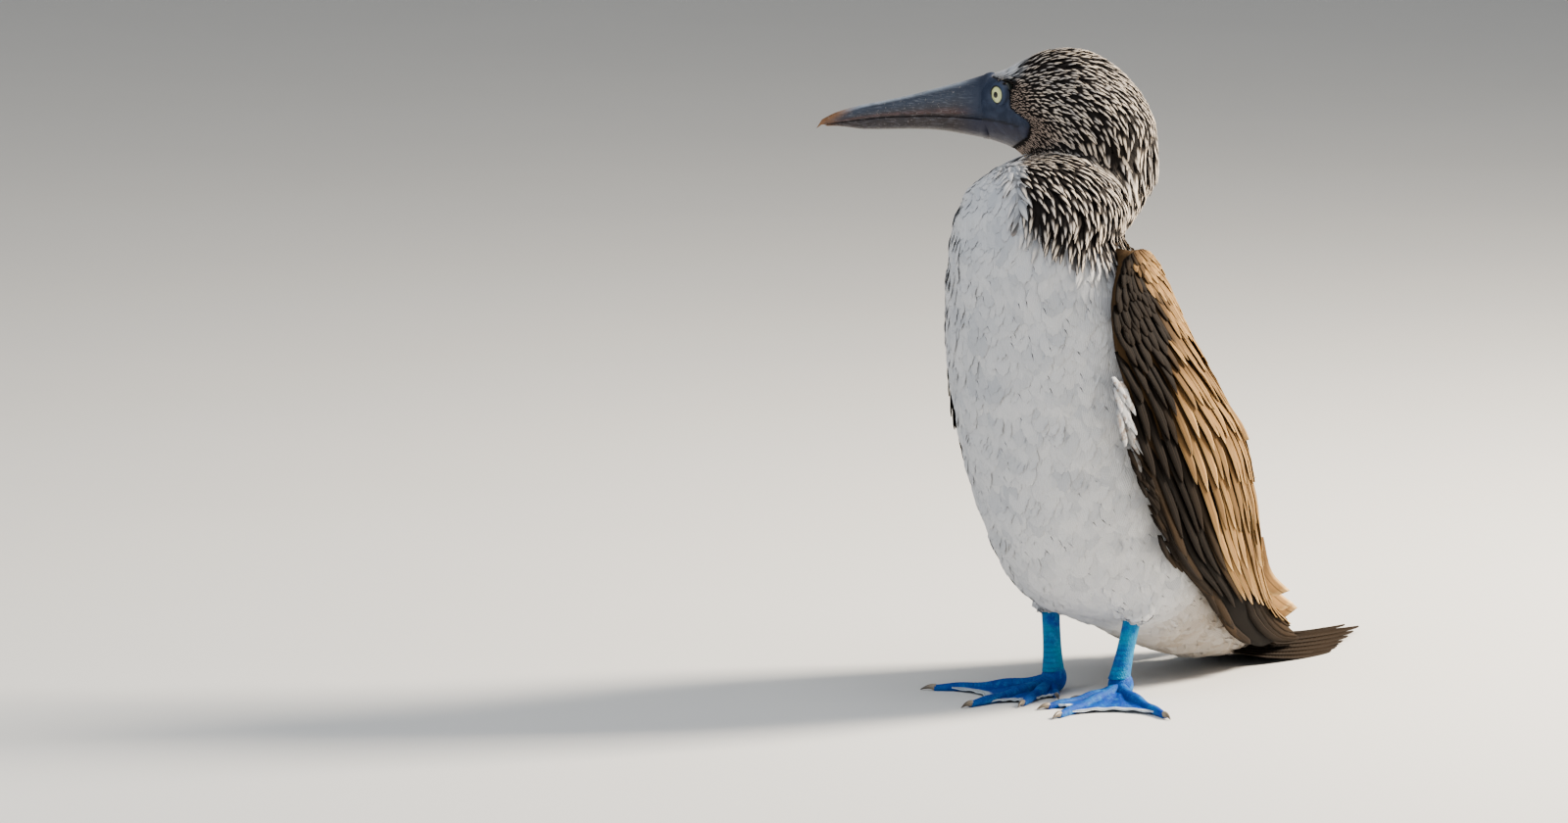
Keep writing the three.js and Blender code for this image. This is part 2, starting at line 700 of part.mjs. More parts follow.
// The bare shank between the foot and the feathered thigh
function shankForm(side, grow = 0) {
  const rings = [];
  const steps = 7;
  for (let i = 0; i <= steps; i++) {
    const share = i / steps;
    const z = lerp(ANKLE_Z + GAP, KNEE.z + SHANK.over, share);
    const centre = point(side * lerp(ANKLE_X, KNEE.x, share), lerp(SHANK.lowY, KNEE.y, share), z);
    const flare = 1 + SHANK.lowFlare * (1 - share) ** 4 + SHANK.highFlare * share ** 3;
    const [wide, deep] = [SHANK.wide, SHANK.deep].map((half) => half * flare + grow);
    rings.push(oval(centre, point(0, deep, 0), point(wide, 0, 0), 12));
  }
  const top = point(side * KNEE.x, KNEE.y, KNEE.z + SHANK.over + grow);
  return loft(rings, null, grow ? top : null);
}

// The feathered thigh, set into the belly
function thighForm(side, grow = 0) {
  const rings = [];
  const steps = 4;
  for (let i = 0; i <= steps; i++) {
    const share = i / steps;
    const z = lerp(THIGH.low, THIGH.high, share);
    const radius = lerp(THIGH.lowRadius, THIGH.highRadius, Math.sqrt(share)) + grow;
    const centre = point(side * (KNEE.x - THIGH.lean * share), KNEE.y + THIGH.lean * share, z);
    rings.push(oval(centre, point(0, radius * THIGH.deep, 0), point(radius, 0, 0), 14));
  }
  const low = point(side * KNEE.x, KNEE.y, THIGH.low - THIGH.lowEnd - grow);
  const high = point(side * (KNEE.x - THIGH.lean), KNEE.y + THIGH.lean, THIGH.high + THIGH.highEnd + grow);
  return loft(rings, low, high);
}

// Partings, as planes that hold the line of sight: each is set by two places in the view of the
// bird from its front left, across and up
const VIEW_TURN = THREE.MathUtils.degToRad(36);
const viewRight = point(Math.cos(VIEW_TURN), Math.sin(VIEW_TURN), 0);
const viewNear = point(Math.sin(VIEW_TURN), -Math.cos(VIEW_TURN), 0);
const NAPE_LINE = [[-38, 332], [46, 345]];
const COLLAR_LINE = [[-30, 328], [20, 277]];
const SHOULDER_LINE = [[20, 277], [80, 272]];

function parting([[acrossA, upA], [acrossB, upB]]) {
  const start = viewRight.clone().multiplyScalar(acrossA).setZ(upA);
  const way = viewRight.clone().multiplyScalar(acrossB - acrossA).setZ(upB - upA);
  const normal = point(0, 0, 0).crossVectors(way, viewNear).negate().normalize();
  if (normal.z < 0) normal.negate();
  return { above: (offset) => halfSpace(start, normal, offset),
    below: (offset) => halfSpace(start, normal.clone().negate(), offset) };
}

const nape = parting(NAPE_LINE);
const collar = parting(COLLAR_LINE);
const shoulder = parting(SHOULDER_LINE);
const HALF_GAP = GAP / 2;

const flesh = joined([torsoForm(), neckForm(), headForm()]);
const underHead = flesh.intersect(nape.below(HALF_GAP));
const neckZone = (offset) => collar.above(offset).intersect(shoulder.above(offset));
const rump = point(0, TAIL_CUT_Y, 0);

const group = new THREE.Group();

function addNode(name, solid, finish) {
  const { color, roughness } = FINISHES[finish];
  const material = new THREE.MeshStandardMaterial({ color, roughness, metalness: 0 });
  const mesh = new THREE.Mesh(geometryOf(largest(solid)), material);
  mesh.name = name;
  group.add(mesh);
}

const SIDES = [["left", 1], ["right", -1]];

function addHead() {
  let head = flesh.intersect(nape.above(HALF_GAP));
  for (const [, side] of SIDES) head = head.add(lidRing(side));
  for (const [, side] of SIDES) head = head.subtract(eyeForm(side, GAP));
  addNode("head", head.subtract(mouthGroove()), "hackles");
  let upper = jaw(true);
  for (const [, side] of SIDES) upper = upper.subtract(nostrilGroove(side));
  addNode("bill_upper", upper, "bill");
  addNode("bill_lower", jaw(false), "bill");
  for (const [name, side] of SIDES) addNode("eye_" + name, eyeForm(side), "iris");
}

function addBody() {
  addNode("neck", underHead.intersect(neckZone(HALF_GAP)), "hackles");
  let torso = underHead.subtract(neckZone(-HALF_GAP)).subtract(halfSpace(rump, point(0, 1, 0), -HALF_GAP));
  for (const [, side] of SIDES) torso = torso.subtract(thighForm(side, GAP));
  addNode("torso", torso, "breast");
  const core = torsoForm().intersect(halfSpace(rump, point(0, 1, 0), HALF_GAP));
  const behind = halfSpace(rump, point(0, 1, 0), HALF_GAP);
  addNode("tail", tailForm(core).intersect(behind).intersect(aboveFloor), "tail");
}

function addWings() {
  const clear = joined([torsoForm(GAP), neckForm(GAP)]);
  for (const [name, side] of SIDES) {
    const middle = halfSpace(point(0, 0, 0), point(1, 0, 0), HALF_GAP);
    const wing = largest(wingForm(side).intersect(middle).intersect(aboveFloor).subtract(clear));
    const geometry = geometryOf(wing);
    if (side < 0) {
      geometry.scale(-1, 1, 1);
      geometry.index.array.reverse();
    }
    addNode("wing_" + name, solidOf(geometry), "wing");
  }
}

function addLegs() {
  const footTop = halfSpace(point(0, 0, ANKLE_Z), point(0, 0, -1));
  for (const [name, side] of SIDES) {
    addNode("thigh_" + name, thighForm(side).subtract(shankForm(side, GAP)), "thigh");
    addNode("leg_" + name, shankForm(side), "shank");
    addNode("foot_" + name, footForm(side).intersect(footTop), "web");
    TOES.forEach((toe, k) => addNode(`claw_${name}_${k + 1}`, clawForm(side, toe), "claw"));
  }
}

addHead();
addBody();
addWings();
addLegs();

// The part's origin is the middle of its box at the floor
const box = new THREE.Box3().setFromObject(group);
const middle = box.getCenter(point(0, 0, 0));
for (const mesh of group.children) mesh.position.set(-middle.x, -middle.y, -box.min.z);

export default group;
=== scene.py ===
import math

import bpy
import numpy as np
from bpy.props import FloatProperty, FloatVectorProperty, IntProperty, PointerProperty
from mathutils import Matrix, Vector, noise
from mathutils.bvhtree import BVHTree
from mathutils.kdtree import KDTree


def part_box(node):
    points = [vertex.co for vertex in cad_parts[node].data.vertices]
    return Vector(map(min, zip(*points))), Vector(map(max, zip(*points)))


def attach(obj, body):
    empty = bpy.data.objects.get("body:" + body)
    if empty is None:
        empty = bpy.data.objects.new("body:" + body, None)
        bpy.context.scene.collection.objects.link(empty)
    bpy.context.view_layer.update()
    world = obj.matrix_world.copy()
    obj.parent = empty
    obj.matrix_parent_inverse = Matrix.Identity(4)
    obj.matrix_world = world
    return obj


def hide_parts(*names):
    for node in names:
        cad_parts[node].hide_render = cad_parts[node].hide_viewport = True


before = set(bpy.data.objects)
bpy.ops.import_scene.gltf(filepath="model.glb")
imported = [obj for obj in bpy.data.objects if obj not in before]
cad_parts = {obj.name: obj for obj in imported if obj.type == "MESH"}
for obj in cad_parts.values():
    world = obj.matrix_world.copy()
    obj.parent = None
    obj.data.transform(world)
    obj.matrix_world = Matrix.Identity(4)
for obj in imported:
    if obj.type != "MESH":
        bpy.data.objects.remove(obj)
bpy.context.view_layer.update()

bl_info = {
    "name": "Blue-footed booby",
    "version": (1, 0, 0),
    "blender": (4, 5, 0),
    "location": "3D View > Sidebar > Booby",
    "description": "Dresses the solids of a blue-footed booby with skin, feathers, bill, eyes and feet",
    "category": "Add Mesh",
}

# Sizes below are in millimetres about the point on the floor midway between the two ankles.
MM = 0.001
SHANK_FRONT = 6.56  # from that point forward to the front of a shank
LEFT_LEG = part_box("leg_left")
RIGHT_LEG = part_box("leg_right")
HOME = np.array([
    (LEFT_LEG[0].x + RIGHT_LEG[1].x) / 2,
    LEFT_LEG[0].y + SHANK_FRONT * MM,
    0.0,
])
SIDES = (("left", 1), ("right", -1))

# The head looks to the bird's right
HEAD_TURN = math.radians(66)
HEAD_HOME = np.array([-3.6, 4.9, 0.0])
AHEAD = np.array([-math.sin(HEAD_TURN), -math.cos(HEAD_TURN), 0.0])
LEFTWARD = np.array([math.cos(HEAD_TURN), -math.sin(HEAD_TURN), 0.0])

# The photograph's view
VIEW_TURN = math.radians(36)
VIEW_RISE = math.radians(8)
VIEW_FAR = 6000.0
VIEW_LENS = 225.0
VIEW_MIDDLE = (-184.2, 174.0)  # right of and above the point between the ankles, in the view
VIEW_RIGHT = np.array([math.cos(VIEW_TURN), math.sin(VIEW_TURN), 0.0])
VIEW_BACK = np.array([
    math.sin(VIEW_TURN) * math.cos(VIEW_RISE),
    -math.cos(VIEW_TURN) * math.cos(VIEW_RISE),
    math.sin(VIEW_RISE),
])
VIEW_UP = np.cross(VIEW_BACK, VIEW_RIGHT)

# Line down the middle of the body, from the root of the bill to the root of the tail
SPINE = np.array([
    [-62, -21, 362], [-45, -13, 366], [-25, -4, 366], [-10, 6, 360], [-3, 13, 345], [-1, 8, 325],
    [0, -8, 303], [0, -22, 280], [0, -26, 250], [0, -20, 212], [0, -10, 176], [0, 0, 140],
    [0, 15, 108], [0, 38, 82], [0, 66, 58], [0, 100, 40], [0, 135, 27], [0, 175, 17],
], float)

# Where the hackles of the neck end, in the view: height and distance right of the ankles in
# front, the other way round below, and the height above which all is hackled
HACKLE_FRONT = np.array([[280, -1], [287, -14], [297, -33], [308, -41], [317, -41], [329, -44]], float)
HACKLE_LOW = np.array([[-1, 282], [20, 289]], float)
HACKLE_TOP = 334.0

# Edge of the bare face: height, and how far forward of the middle of the head it lies
FACE_EDGE = np.array([
    [330, 50], [337.6, 43.4], [341.8, 37.2], [345.1, 32.1], [353.2, 29.4], [356.2, 31.5],
    [360.1, 38.7], [363, 42.7], [370.9, 44.0], [374.7, 46.5], [378, 51], [379.5, 55.5], [380.8, 61.5],
    [384, 66],
], float)
FACE_BOTTOM = 329.0

# Bill: where it starts, its length, and its stations as in the solids:
# share of its length, culmen, mouth and underside height, half width
BILL_START = 63.9
BILL_LENGTH = 104.3
BILL = np.array([
    [0, 380, 354.9, 341.7, 15.8], [0.12, 376, 355.4, 343.6, 13.4], [0.27, 371.6, 355.4, 345.6, 11.3],
    [0.42, 367.2, 354.6, 345.9, 9.4], [0.58, 363.2, 353.6, 345.4, 7.7], [0.74, 359.6, 351.6, 345, 6],
    [0.88, 355, 349.2, 344.7, 4.2], [0.965, 350.4, 346.9, 344.2, 2.4],
], float)
BILL_TIP_Z = 344.6
BILL_ROWS = 72
BILL_ARCH = 30  # faces over the arch of a jaw
BILL_ROOT = 0.55  # how far the horn runs back over the face, as a share of its first stretch
BILL_ROOT_SINK = 1.3  # how deep the end of the horn dives under the face
BILL_ROOT_DIVE = (1, 0, -0.35, -0.4, -0.4)  # share of that depth at each row; it stands proud below 0
LOWER_TIP_SHARE = 0.965  # length of the lower jaw as a share of the upper one
LOWER_TAPER = (0.72, 1.0)  # where it narrows to its tip, and how much flatter and slimmer it gets
LOWER_SLIMS = (0.62, 0.45)
JAW_GAP = 0.12  # half the gap between the jaws

# Eyes
EYE_RADIUS = 7.6
EYE_FORWARD = 52.3
EYE_SIDE = 20.4
EYE_Z = 370.2
EYE_TURN = math.radians(40)
EYE_DEPTH = 5.9
EYE_SIDES = 64
IRIS_HIGH = 5.5  # from the middle of the eye to the plane of the iris's rim
IRIS_BULGE = 0.5
BEHIND_IRIS = 9.0  # what the back of the eyeball is told as its distance from the pupil's middle
# Bare ring round the eye: distances out from the eye's axis and along it
LID_PROFILE = (
    (5.0, 5.0), (5.15, 5.65), (5.5, 5.95), (6.0, 5.95), (6.6, 5.6), (7.1, 5.15), (7.6, 4.6),
    (8.1, 3.7), (8.5, 2.4),
)

# Heights, and how far the back of the neck is drawn in there above the wings; the pull grows
# between two distances right of the ankles in the view
NAPE_PULL = ((266, 279, 288, 300, 318, 336, 352), (0, 7, 12, 7, 4, 3, 0))
NAPE_SIDE = (-20, 32)

# Line of the mouth on the face: how far ahead of the middle of the head, and its height there
MOUTH_CORNER = 37
MOUTH_LINE = ((MOUTH_CORNER, 46, 56, 70), (351.6, 353.4, 354.4, 355.1))

# Smoothing of the skin, all over and in its folds: share of the way moved, and rounds
SOFTEN = (0.6, 14)
EASE_FOLDS = (0.7, 60)

# Soft swells of the white plumage: height, size, and how much closer they lie up and down
SWELL_HIGH = 0.8
SWELL_SIZE = 16.0
SWELL_FLAT = np.array([1, 1, 1.3])

# How many roots are tried for each coat, before those too close to another are dropped
HACKLE_TRIES = 60000
BREAST_TRIES = 40000
MANTLE_TRIES = 20000

# The lie of the coat: how widely it is evened out, and how many feathers are worked out at once
LIE_REACH = 22.0
LIE_CHUNK = 4000
SHELF_PULL = 0.75  # how strongly the hackles on top of the folded neck lie back with the head's

# Hackles: size by the bill, and what the distance from it, the crown and the low neck add
HACKLE_SIZES = (0.15, 0.33, 0.2, 0.52)
HACKLE_SPLIT = 0.52  # smaller ones belong to the face, and larger ones to the nape
FOLD_Z = 338.0  # height of the fold under the head, and how much longer the hackles grow above it
FOLD_HIGH = 11.0
FOLD_LONGER = 0.95

BREAST_SPLIT_Z = 165.0  # height where the coat of the breast ends and that of the belly begins
BACK_TOP = 290.0  # height where the brown back ends below the nape
MANTLE_GAP = 4.6
MANTLE_LENGTH = (16, 22)
MANTLE_WIDTH = 0.46  # share of the length
VANE_THICK = 0.3
TAIL_VANE_THICK = 0.35

FEATHER_CLEAR = 0.12  # least distance of a small feather from the skin

# Patch of each feather on the unwrap: half its width, and its length
PATCH_HALF_WIDTH = 0.0012
PATCH_LENGTH = 0.003

# Left wing guides from the wrist to the tip, as in the solids
WING_LEAD = np.array([
    [64, -53, 280], [66, -68, 254], [67, -69, 226], [70, -62, 199], [71, -50, 165], [70, -30, 133],
    [65, 2, 92], [53, 55, 61], [43, 92, 34], [37, 128, 17], [29, 162, 11], [23, 200, 8.5],
], float)
WING_MIDDLE = np.array([
    [65, -38, 284], [62, -15, 263], [68, 8, 226], [76, 28, 192], [75, 57, 158], [68, 80, 122],
    [57, 103, 90], [46, 125, 60], [37, 150, 38], [30, 175, 24], [24, 196, 16], [19, 214, 11],
], float)
WING_TRAIL = np.array([
    [50, -12, 279], [33, 20, 266], [15, 48, 232], [9, 65, 200], [8, 87, 166], [7, 110, 130],
    [6.5, 133, 97], [6.5, 154, 69], [6.5, 176, 46], [7, 194, 32], [10, 206, 23], [14, 218, 14],
], float)
# The right wing's leading edge is tucked in by this much, less and less down the wing
RIGHT_TUCK = 12.0
TUCK_FADES = (0.35, 0.7)
# Depth of a wing's body at its middle near the wrist and near the tip, and at its edges
WING_DEPTH = 17.0
WING_TIP_DEPTH = 2.4
WING_EDGE_DEPTH = 1.4
# Heights of the wing, and how far right of the ankles in the view its painted sunlight begins there, which
# turns it tan; in front of that line the wing is painted in shade
SUNLIT_EDGE = np.array([
    [30, 96], [63, 82], [90, 78], [108, 75.6], [119, 72.6], [141, 66], [156, 58.8], [174, 54],
    [204, 55], [228, 50], [252, 42], [271, 27],
], float)
# below this share of the wing, the painted sunlight follows its feathers
SUNLIT_BEND = 0.5  # share of the wing below which the gold follows its feathers
# Height along the trunk and how far back its middle lies there
TRUNK_MIDDLE = np.array([[80, 30], [275, -36]], float)
WING_LENGTH = 400.0
CORE_END = 0.88  # share of the wing where its body ends
CORE_ROWS = 40
CORE_COLUMNS = 16
# share of painted sunlight on the upper part of the wing's body
CORE_SUNLIT = 0.25
CORE_UNDER = 1.1  # how far it lies under the sheet of the feathers
PRIMARIES = 7
EDGE_QUILLS = 10  # long dark feathers whose tips step down the leading edge
SCAPULARS = 14
TERTIAL_TIPS = 3  # tips of the innermost long feathers, which stand off the rump
WING_FRONT_COUNT = 44  # small feathers on the leading edge, white at its upper part on the left
# Rows of coverts: how many, share of the wing at their roots, lengths in front and behind, width,
# lift, depth of the roots, where the tip begins, how blunt it is, and the shift across
COVERTS = (
    (24, 0.375, (84, 94), 8.6, 1.2, 2.6, 0.68, 1.8, 0.0),
    (23, 0.325, (72, 84), 8.2, 1.4, 2.6, 0.66, 1.8, 0.5),
    (25, 0.27, (64, 74), 8, 1.5, 2.5, 0.64, 1.7, 0.0),
    (24, 0.22, (54, 62), 7.8, 1.5, 2.4, 0.64, 1.7, 0.5),
    (24, 0.175, (44, 56), 7.6, 1.5, 2.2, 0.64, 1.8, 0.0),
    (24, 0.13, (36, 48), 7.4, 1.4, 1.8, 0.66, 2.2, 0.5),
)

# Tail
TAIL_PAIRS = 6
TAIL_ROOT_Y = 150.0
TAIL_LONGEST = 152.0
TAIL_STEP = 15.0
TAIL_WIDTH = 19.0
TAIL_TUCK = 14  # how far the roots run on under the rump
TAIL_RIDGE = (2.6, 12.5)  # height of the middle of the tail at its tip, and what it gains at the root
TAIL_PILE = 0.62  # how much higher each pair lies than the pair outside it
RUMP_VANES = 7  # upper coverts over the roots of the tail
RUMP_HALF_WIDTH = 7.5
RUMP_STEP = 5.5  # distance across from one to the next
RUMP_LONG = (132, 62)  # where they start behind the ankles, and how long they are
RUMP_HIGH = (31.5, 15)  # height at the root of the middle one, and how far it comes down

# Feet
ANKLE_X = 24.7
ANKLE_Z = 15.0
KNEE = np.array([31.7, 8.0, 56.0])
SHANK_WIDE = 4.7
SHANK_DEEP = 6.4
SHANK_RINGS = 110
SHANK_SIDES = 40
SHANK_FOOT_Y = 1.5  # how far back the middle of a shank lies at the ankle
SHANK_SCUTE = 3.1  # height of one scute of a shank
TOE_SCUTE = 2.4
TOE_INSTEP = 4.5  # how much higher the toes lie where they meet
HEEL_MIDDLE = (2.5, 8.5)  # how far back and how high the round of the foot lies
HEEL_SIZE = (7.5, 8.6, 9.4)  # its half width, half length and half height
WEB_ROWS = 34
WEB_COLUMNS = 30
WEB_THICK = 1.1
WEB_HIGH = (2.3, 7.6)  # height of a web at its edge, and what it gains by the ankle
WEB_INNER = 0.06  # share of the web where it begins at the ankle
# Toes: angle outward from straight ahead, length, thickness at root and tip
TOES = ((-42, 24, 4.2, 2.4), (-16, 56, 4.8, 2.7), (6, 76, 5.2, 2.9), (57, 72, 5.2, 2.9))
CLAW_LENGTH = 9.0
TOE_SLIM = 0.82  # the toes of the render to those of the solids, which hold the webs' folds too
WEB_SAG = (0.16, 0.2, 0.26)
TOE_SIDES = 22
HEEL_SIDES = 32
CLAW_SIDES = 18

# Second tones of the finishes, which are mixed into the colours of the panel; of a pair, the
# first is for dark feathers in painted shade and the second for tan ones in painted sunlight
FACE_PATCH = (0.085, 0.105, 0.16)
MOUTH_DARK = (0.008, 0.008, 0.012)
# painted blue-grey shade of the soft ripples on the breast
BREAST_RIPPLE_SHADE = (0.41, 0.43, 0.465)
FLECK_TIP = (0.16, 0.105, 0.07)
# painted shade on the covered root half of a wing feather
VANE_ROOT_SHADE = ((0.005, 0.0035, 0.003), (0.075, 0.043, 0.019))
VANE_STREAK = ((0.007, 0.005, 0.004), (0.17, 0.095, 0.04))
VANE_SHAFT = ((0.03, 0.02, 0.014), (0.10, 0.058, 0.028))
VANE_DULL = (0.12, 0.066, 0.028)
WHITE_MOTTLE = (0.30, 0.22, 0.17)
BILL_SCUFF = (0.34, 0.36, 0.40)
BILL_CHIP = (0.46, 0.44, 0.42)
BILL_STAIN = (0.02, 0.02, 0.028)
IRIS_OUTER = (0.50, 0.55, 0.22)
IRIS_RIM = (0.03, 0.035, 0.03)
PUPIL = (0.004, 0.004, 0.004)
LID_RIM = (0.006, 0.007, 0.010)
LID_SKIN = (0.030, 0.048, 0.095)
WEB_MARGIN = (0.60, 0.66, 0.70)
CLAW_ROOT = (0.30, 0.25, 0.19)
CLAW_TIP = (0.09, 0.075, 0.06)
FLOOR_TONES = ((0.68, 0.68, 0.67), (0.71, 0.71, 0.70))

# Stage, in metres: height of the lights' aim, and each light's name, its place right of the aim,
# towards the camera and up, its size, power and tint
AIM_HEIGHT = 0.2
LIGHTS = (
    ("key", 1.7, -0.35, 1.2, 0.55, 135, (1, 0.89, 0.74)),
    ("fill", -1.6, 1.7, 0.9, 1.8, 19, (0.84, 0.91, 1)),
    ("top", 0.0, 0.5, 2.4, 1.6, 20, (1, 1, 1)),
)
SKY_TINT = (0.86, 0.88, 0.9, 1)
SKY_STRENGTH = 0.40
# Floor: half its width, where it starts in front of the aim and where its rows begin behind it,
# the step between rows, and from which row and how steeply it turns up into the backdrop
FLOOR_HALF_WIDTH = 14.0
FLOOR_FRONT = -8.0
FLOOR_ROWS = 40
FLOOR_COLUMNS = 12
FLOOR_BACK = 5.5
FLOOR_STEP = 0.15
FLOOR_LAST_STEP = 30
FLOOR_TURNS_UP = 8
FLOOR_CURVE = 0.012


def smoothstep(values, low, high):
    """0 below low, 1 above high, and a soft step between them."""
    share = np.clip((np.asarray(values, float) - low) / (high - low), 0, 1)
    return share * share * (3 - 2 * share)


def unit(vectors):
    length = np.linalg.norm(vectors, axis=-1, keepdims=True)
    return vectors / np.maximum(length, 1e-9)


def circle(count):
    """Angles evenly spaced round a circle."""
    return np.linspace(0, 2 * math.pi, count, endpoint=False)


def along_table(table, share):
    """Rows of a table of stations at shares of the way along it, on a smooth curve."""
    table = np.asarray(table, float)
    last = len(table) - 1
    place = np.clip(share, 0, 1) * last
    i = np.minimum(place.astype(int), last - 1)
    f = (place - i)[..., None]
    a, b, c, d = (table[np.clip(i + k, 0, last)] for k in (-1, 0, 1, 2))
    turn = (2 * a - 5 * b + 4 * c - d) * f + (3 * b - 3 * c + d - a) * f * f
    return b + 0.5 * f * (c - a + turn)


def on_head(ahead, left, height):
    """Places on the head from distances ahead and left of its middle, and heights."""
    ahead, left, height = np.broadcast_arrays(
        np.asarray(ahead, float), np.asarray(left, float), np.asarray(height, float))
    base = HEAD_HOME + ahead[..., None] * AHEAD + left[..., None] * LEFTWARD
    return base + height[..., None] * np.array([0, 0, 1.0])


def head_coordinates(points):
    """Distances ahead and left of the middle of the head, and heights, of places."""
    from_home = points - HEAD_HOME
    return from_home @ AHEAD, from_home @ LEFTWARD, points[..., 2]


def wobble(points, size, seed):
    """A soft random value from about -1 to 1 at each place, that changes over a size in mm."""
    shift = Vector((seed * 17.3, seed * 5.1, seed * 9.7))
    return np.array([noise.noise(Vector(p) / size + shift) for p in points]) * 1.8


def neck_share(points):
    """How far inside the hackled head and neck places lie, in mm: below 0 they are on the body."""
    across = points @ VIEW_RIGHT
    height = points[..., 2]
    front = across - np.interp(height, HACKLE_FRONT[:, 0], HACKLE_FRONT[:, 1])
    low = height - np.interp(across, HACKLE_LOW[:, 0], HACKLE_LOW[:, 1])
    return np.maximum(np.minimum(front, low), height - HACKLE_TOP)


def bare_share(points):
    """How far inside the bare face places lie, in mm."""
    ahead, _, height = head_coordinates(points)
    edge = np.interp(height, FACE_EDGE[:, 0], FACE_EDGE[:, 1])
    return np.where(height > FACE_BOTTOM, ahead - edge, -50.0)


class Wire:
    """A shader socket that can be used in an expression."""

    def __init__(self, board, socket):
        self.board = board
        self.socket = socket

    def __add__(self, other):
        return self.board.maths("ADD", self, other)

    def __radd__(self, other):
        return self.board.maths("ADD", other, self)

    def __sub__(self, other):
        return self.board.maths("SUBTRACT", self, other)

    def __rsub__(self, other):
        return self.board.maths("SUBTRACT", other, self)

    def __mul__(self, other):
        return self.board.maths("MULTIPLY", self, other)

    def __rmul__(self, other):
        return self.board.maths("MULTIPLY", other, self)

    def __abs__(self):
        return self.board.maths("ABSOLUTE", self)

    def sine(self):
        return self.board.maths("SINE", self)

    def clamped(self):
        return self.board.maths("MAXIMUM", self.board.maths("MINIMUM", self, 1.0), 0.0)

    def ease(self, low, high):
        """0 below low, 1 above high, and a soft step between them."""
        settings = {"interpolation_type": "SMOOTHSTEP"}
        values = {"Value": self, "From Min": low, "From Max": high}
        return self.board.add("ShaderNodeMapRange", settings, values)


class Board:
    """The nodes of one material."""

    def __init__(self, name):
        self.material = bpy.data.materials.new(name)
        self.material.use_nodes = True
        self.tree = self.material.node_tree
        self.tree.nodes.clear()
        self.where = self.add("ShaderNodeTexCoord", out=3)

    def add(self, kind, settings=None, values=None, out=0):
        node = self.tree.nodes.new(kind)
        for key, value in (settings or {}).items():
            setattr(node, key, value)
        for key, value in (values or {}).items():
            self.feed(node.inputs[key], value)
        return Wire(self, node.outputs[out]) if node.outputs else None

    def feed(self, socket, value):
        if isinstance(value, Wire):
            self.tree.links.new(value.socket, socket)
        elif socket.type == "RGBA":
            socket.default_value = (*value[:3], 1.0)
        else:
            socket.default_value = value

    def maths(self, operation, *values):
        return self.add("ShaderNodeMath", {"operation": operation}, dict(enumerate(values)))

    def mix(self, share, first, second):
        """The first colour, turning into the second as the share grows."""
        return self.add("ShaderNodeMix", {"data_type": "RGBA"}, {0: share, 6: first, 7: second}, out=2)

    def attribute(self, name):
        return self.add("ShaderNodeAttribute", {"attribute_name": name}, out=2)

    def cloud(self, scale, detail=3.0, rough=0.55):
        values = {"Vector": self.where, "Scale": scale, "Detail": detail, "Roughness": rough}
        return self.add("ShaderNodeTexNoise", None, values)

    def cells(self, scale):
        settings = {"feature": "DISTANCE_TO_EDGE"}
        return self.add("ShaderNodeTexVoronoi", settings, {"Vector": self.where, "Scale": scale})

    def bump(self, height, strength, distance):
        values = {"Height": height, "Strength": strength, "Distance": distance}
        return self.add("ShaderNodeBump", None, values)

    def surface(self, **sockets):
        """Closes the material with one shader; a socket's name has _ for each space."""
        values = {key.replace("_", " "): value for key, value in sockets.items()}
        shader = self.add("ShaderNodeBsdfPrincipled", None, values)
        self.add("ShaderNodeOutputMaterial", None, {"Surface": shader})
        return self.material


def set_values(mesh, values):
    """Keeps numbers by name for each place of a mesh, which its material reads."""
    for key, numbers in values.items():
        layer = mesh.attributes.new(key, "FLOAT", "POINT")
        layer.data.foreach_set("value", np.asarray(numbers, np.float32).ravel())


def places_of(mesh):
    """Places of a mesh in mm, and its normals there."""
    count = len(mesh.vertices)
    points = np.empty(count * 3, np.float32)
    normals = np.empty(count * 3, np.float32)
    mesh.vertices.foreach_get("co", points)
    mesh.vertices.foreach_get("normal", normals)
    return (points.reshape(-1, 3).astype(float) - HOME) / MM, normals.reshape(-1, 3).astype(float)


def make_piece(name, points, faces, material, values=None, unwrap=None):
    """A new object from places in mm; values are numbers by name for each place."""
    mesh = bpy.data.meshes.new(name)
    mesh.from_pydata((np.asarray(points, float).reshape(-1, 3) * MM + HOME).tolist(), [], faces)
    set_values(mesh, values or {})
    if unwrap is not None:
        corners = np.empty(len(mesh.loops), np.int32)
        mesh.loops.foreach_get("vertex_index", corners)
        layer = mesh.uv_layers.new(name="OFBake")
        layer.data.foreach_set("uv", np.asarray(unwrap, np.float32).reshape(-1, 2)[corners].ravel())
    mesh.polygons.foreach_set("use_smooth", [True] * len(mesh.polygons))
    mesh.update()
    piece = bpy.data.objects.new(name, mesh)
    bpy.context.scene.collection.objects.link(piece)
    mesh.materials.append(material)
    return piece


def settle(piece, slot, *nodes):
    """The piece rides on the bird and stands for the nodes named; the slot is not used."""
    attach(piece, "root")
    if nodes:
        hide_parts(*nodes)


def bake_modifiers(piece):
    """Applies every modifier of a piece to its mesh."""
    bpy.context.view_layer.update()
    seen = piece.evaluated_get(bpy.context.evaluated_depsgraph_get())
    mesh = bpy.data.meshes.new_from_object(seen)
    piece.modifiers.clear()
    piece.data = mesh


def thicken(piece, thickness):
    """Gives a piece made of sheets a thickness in mm behind its face."""
    solid = piece.modifiers.new("thickness", "SOLIDIFY")
    solid.thickness = thickness * MM
    solid.offset = -1
    bake_modifiers(piece)


def add_smoothing(piece, name, factor, rounds):
    """Adds a modifier that evens out a piece, and returns it."""
    smoothing = piece.modifiers.new(name, "SMOOTH")
    smoothing.factor = factor
    smoothing.iterations = rounds
    return smoothing


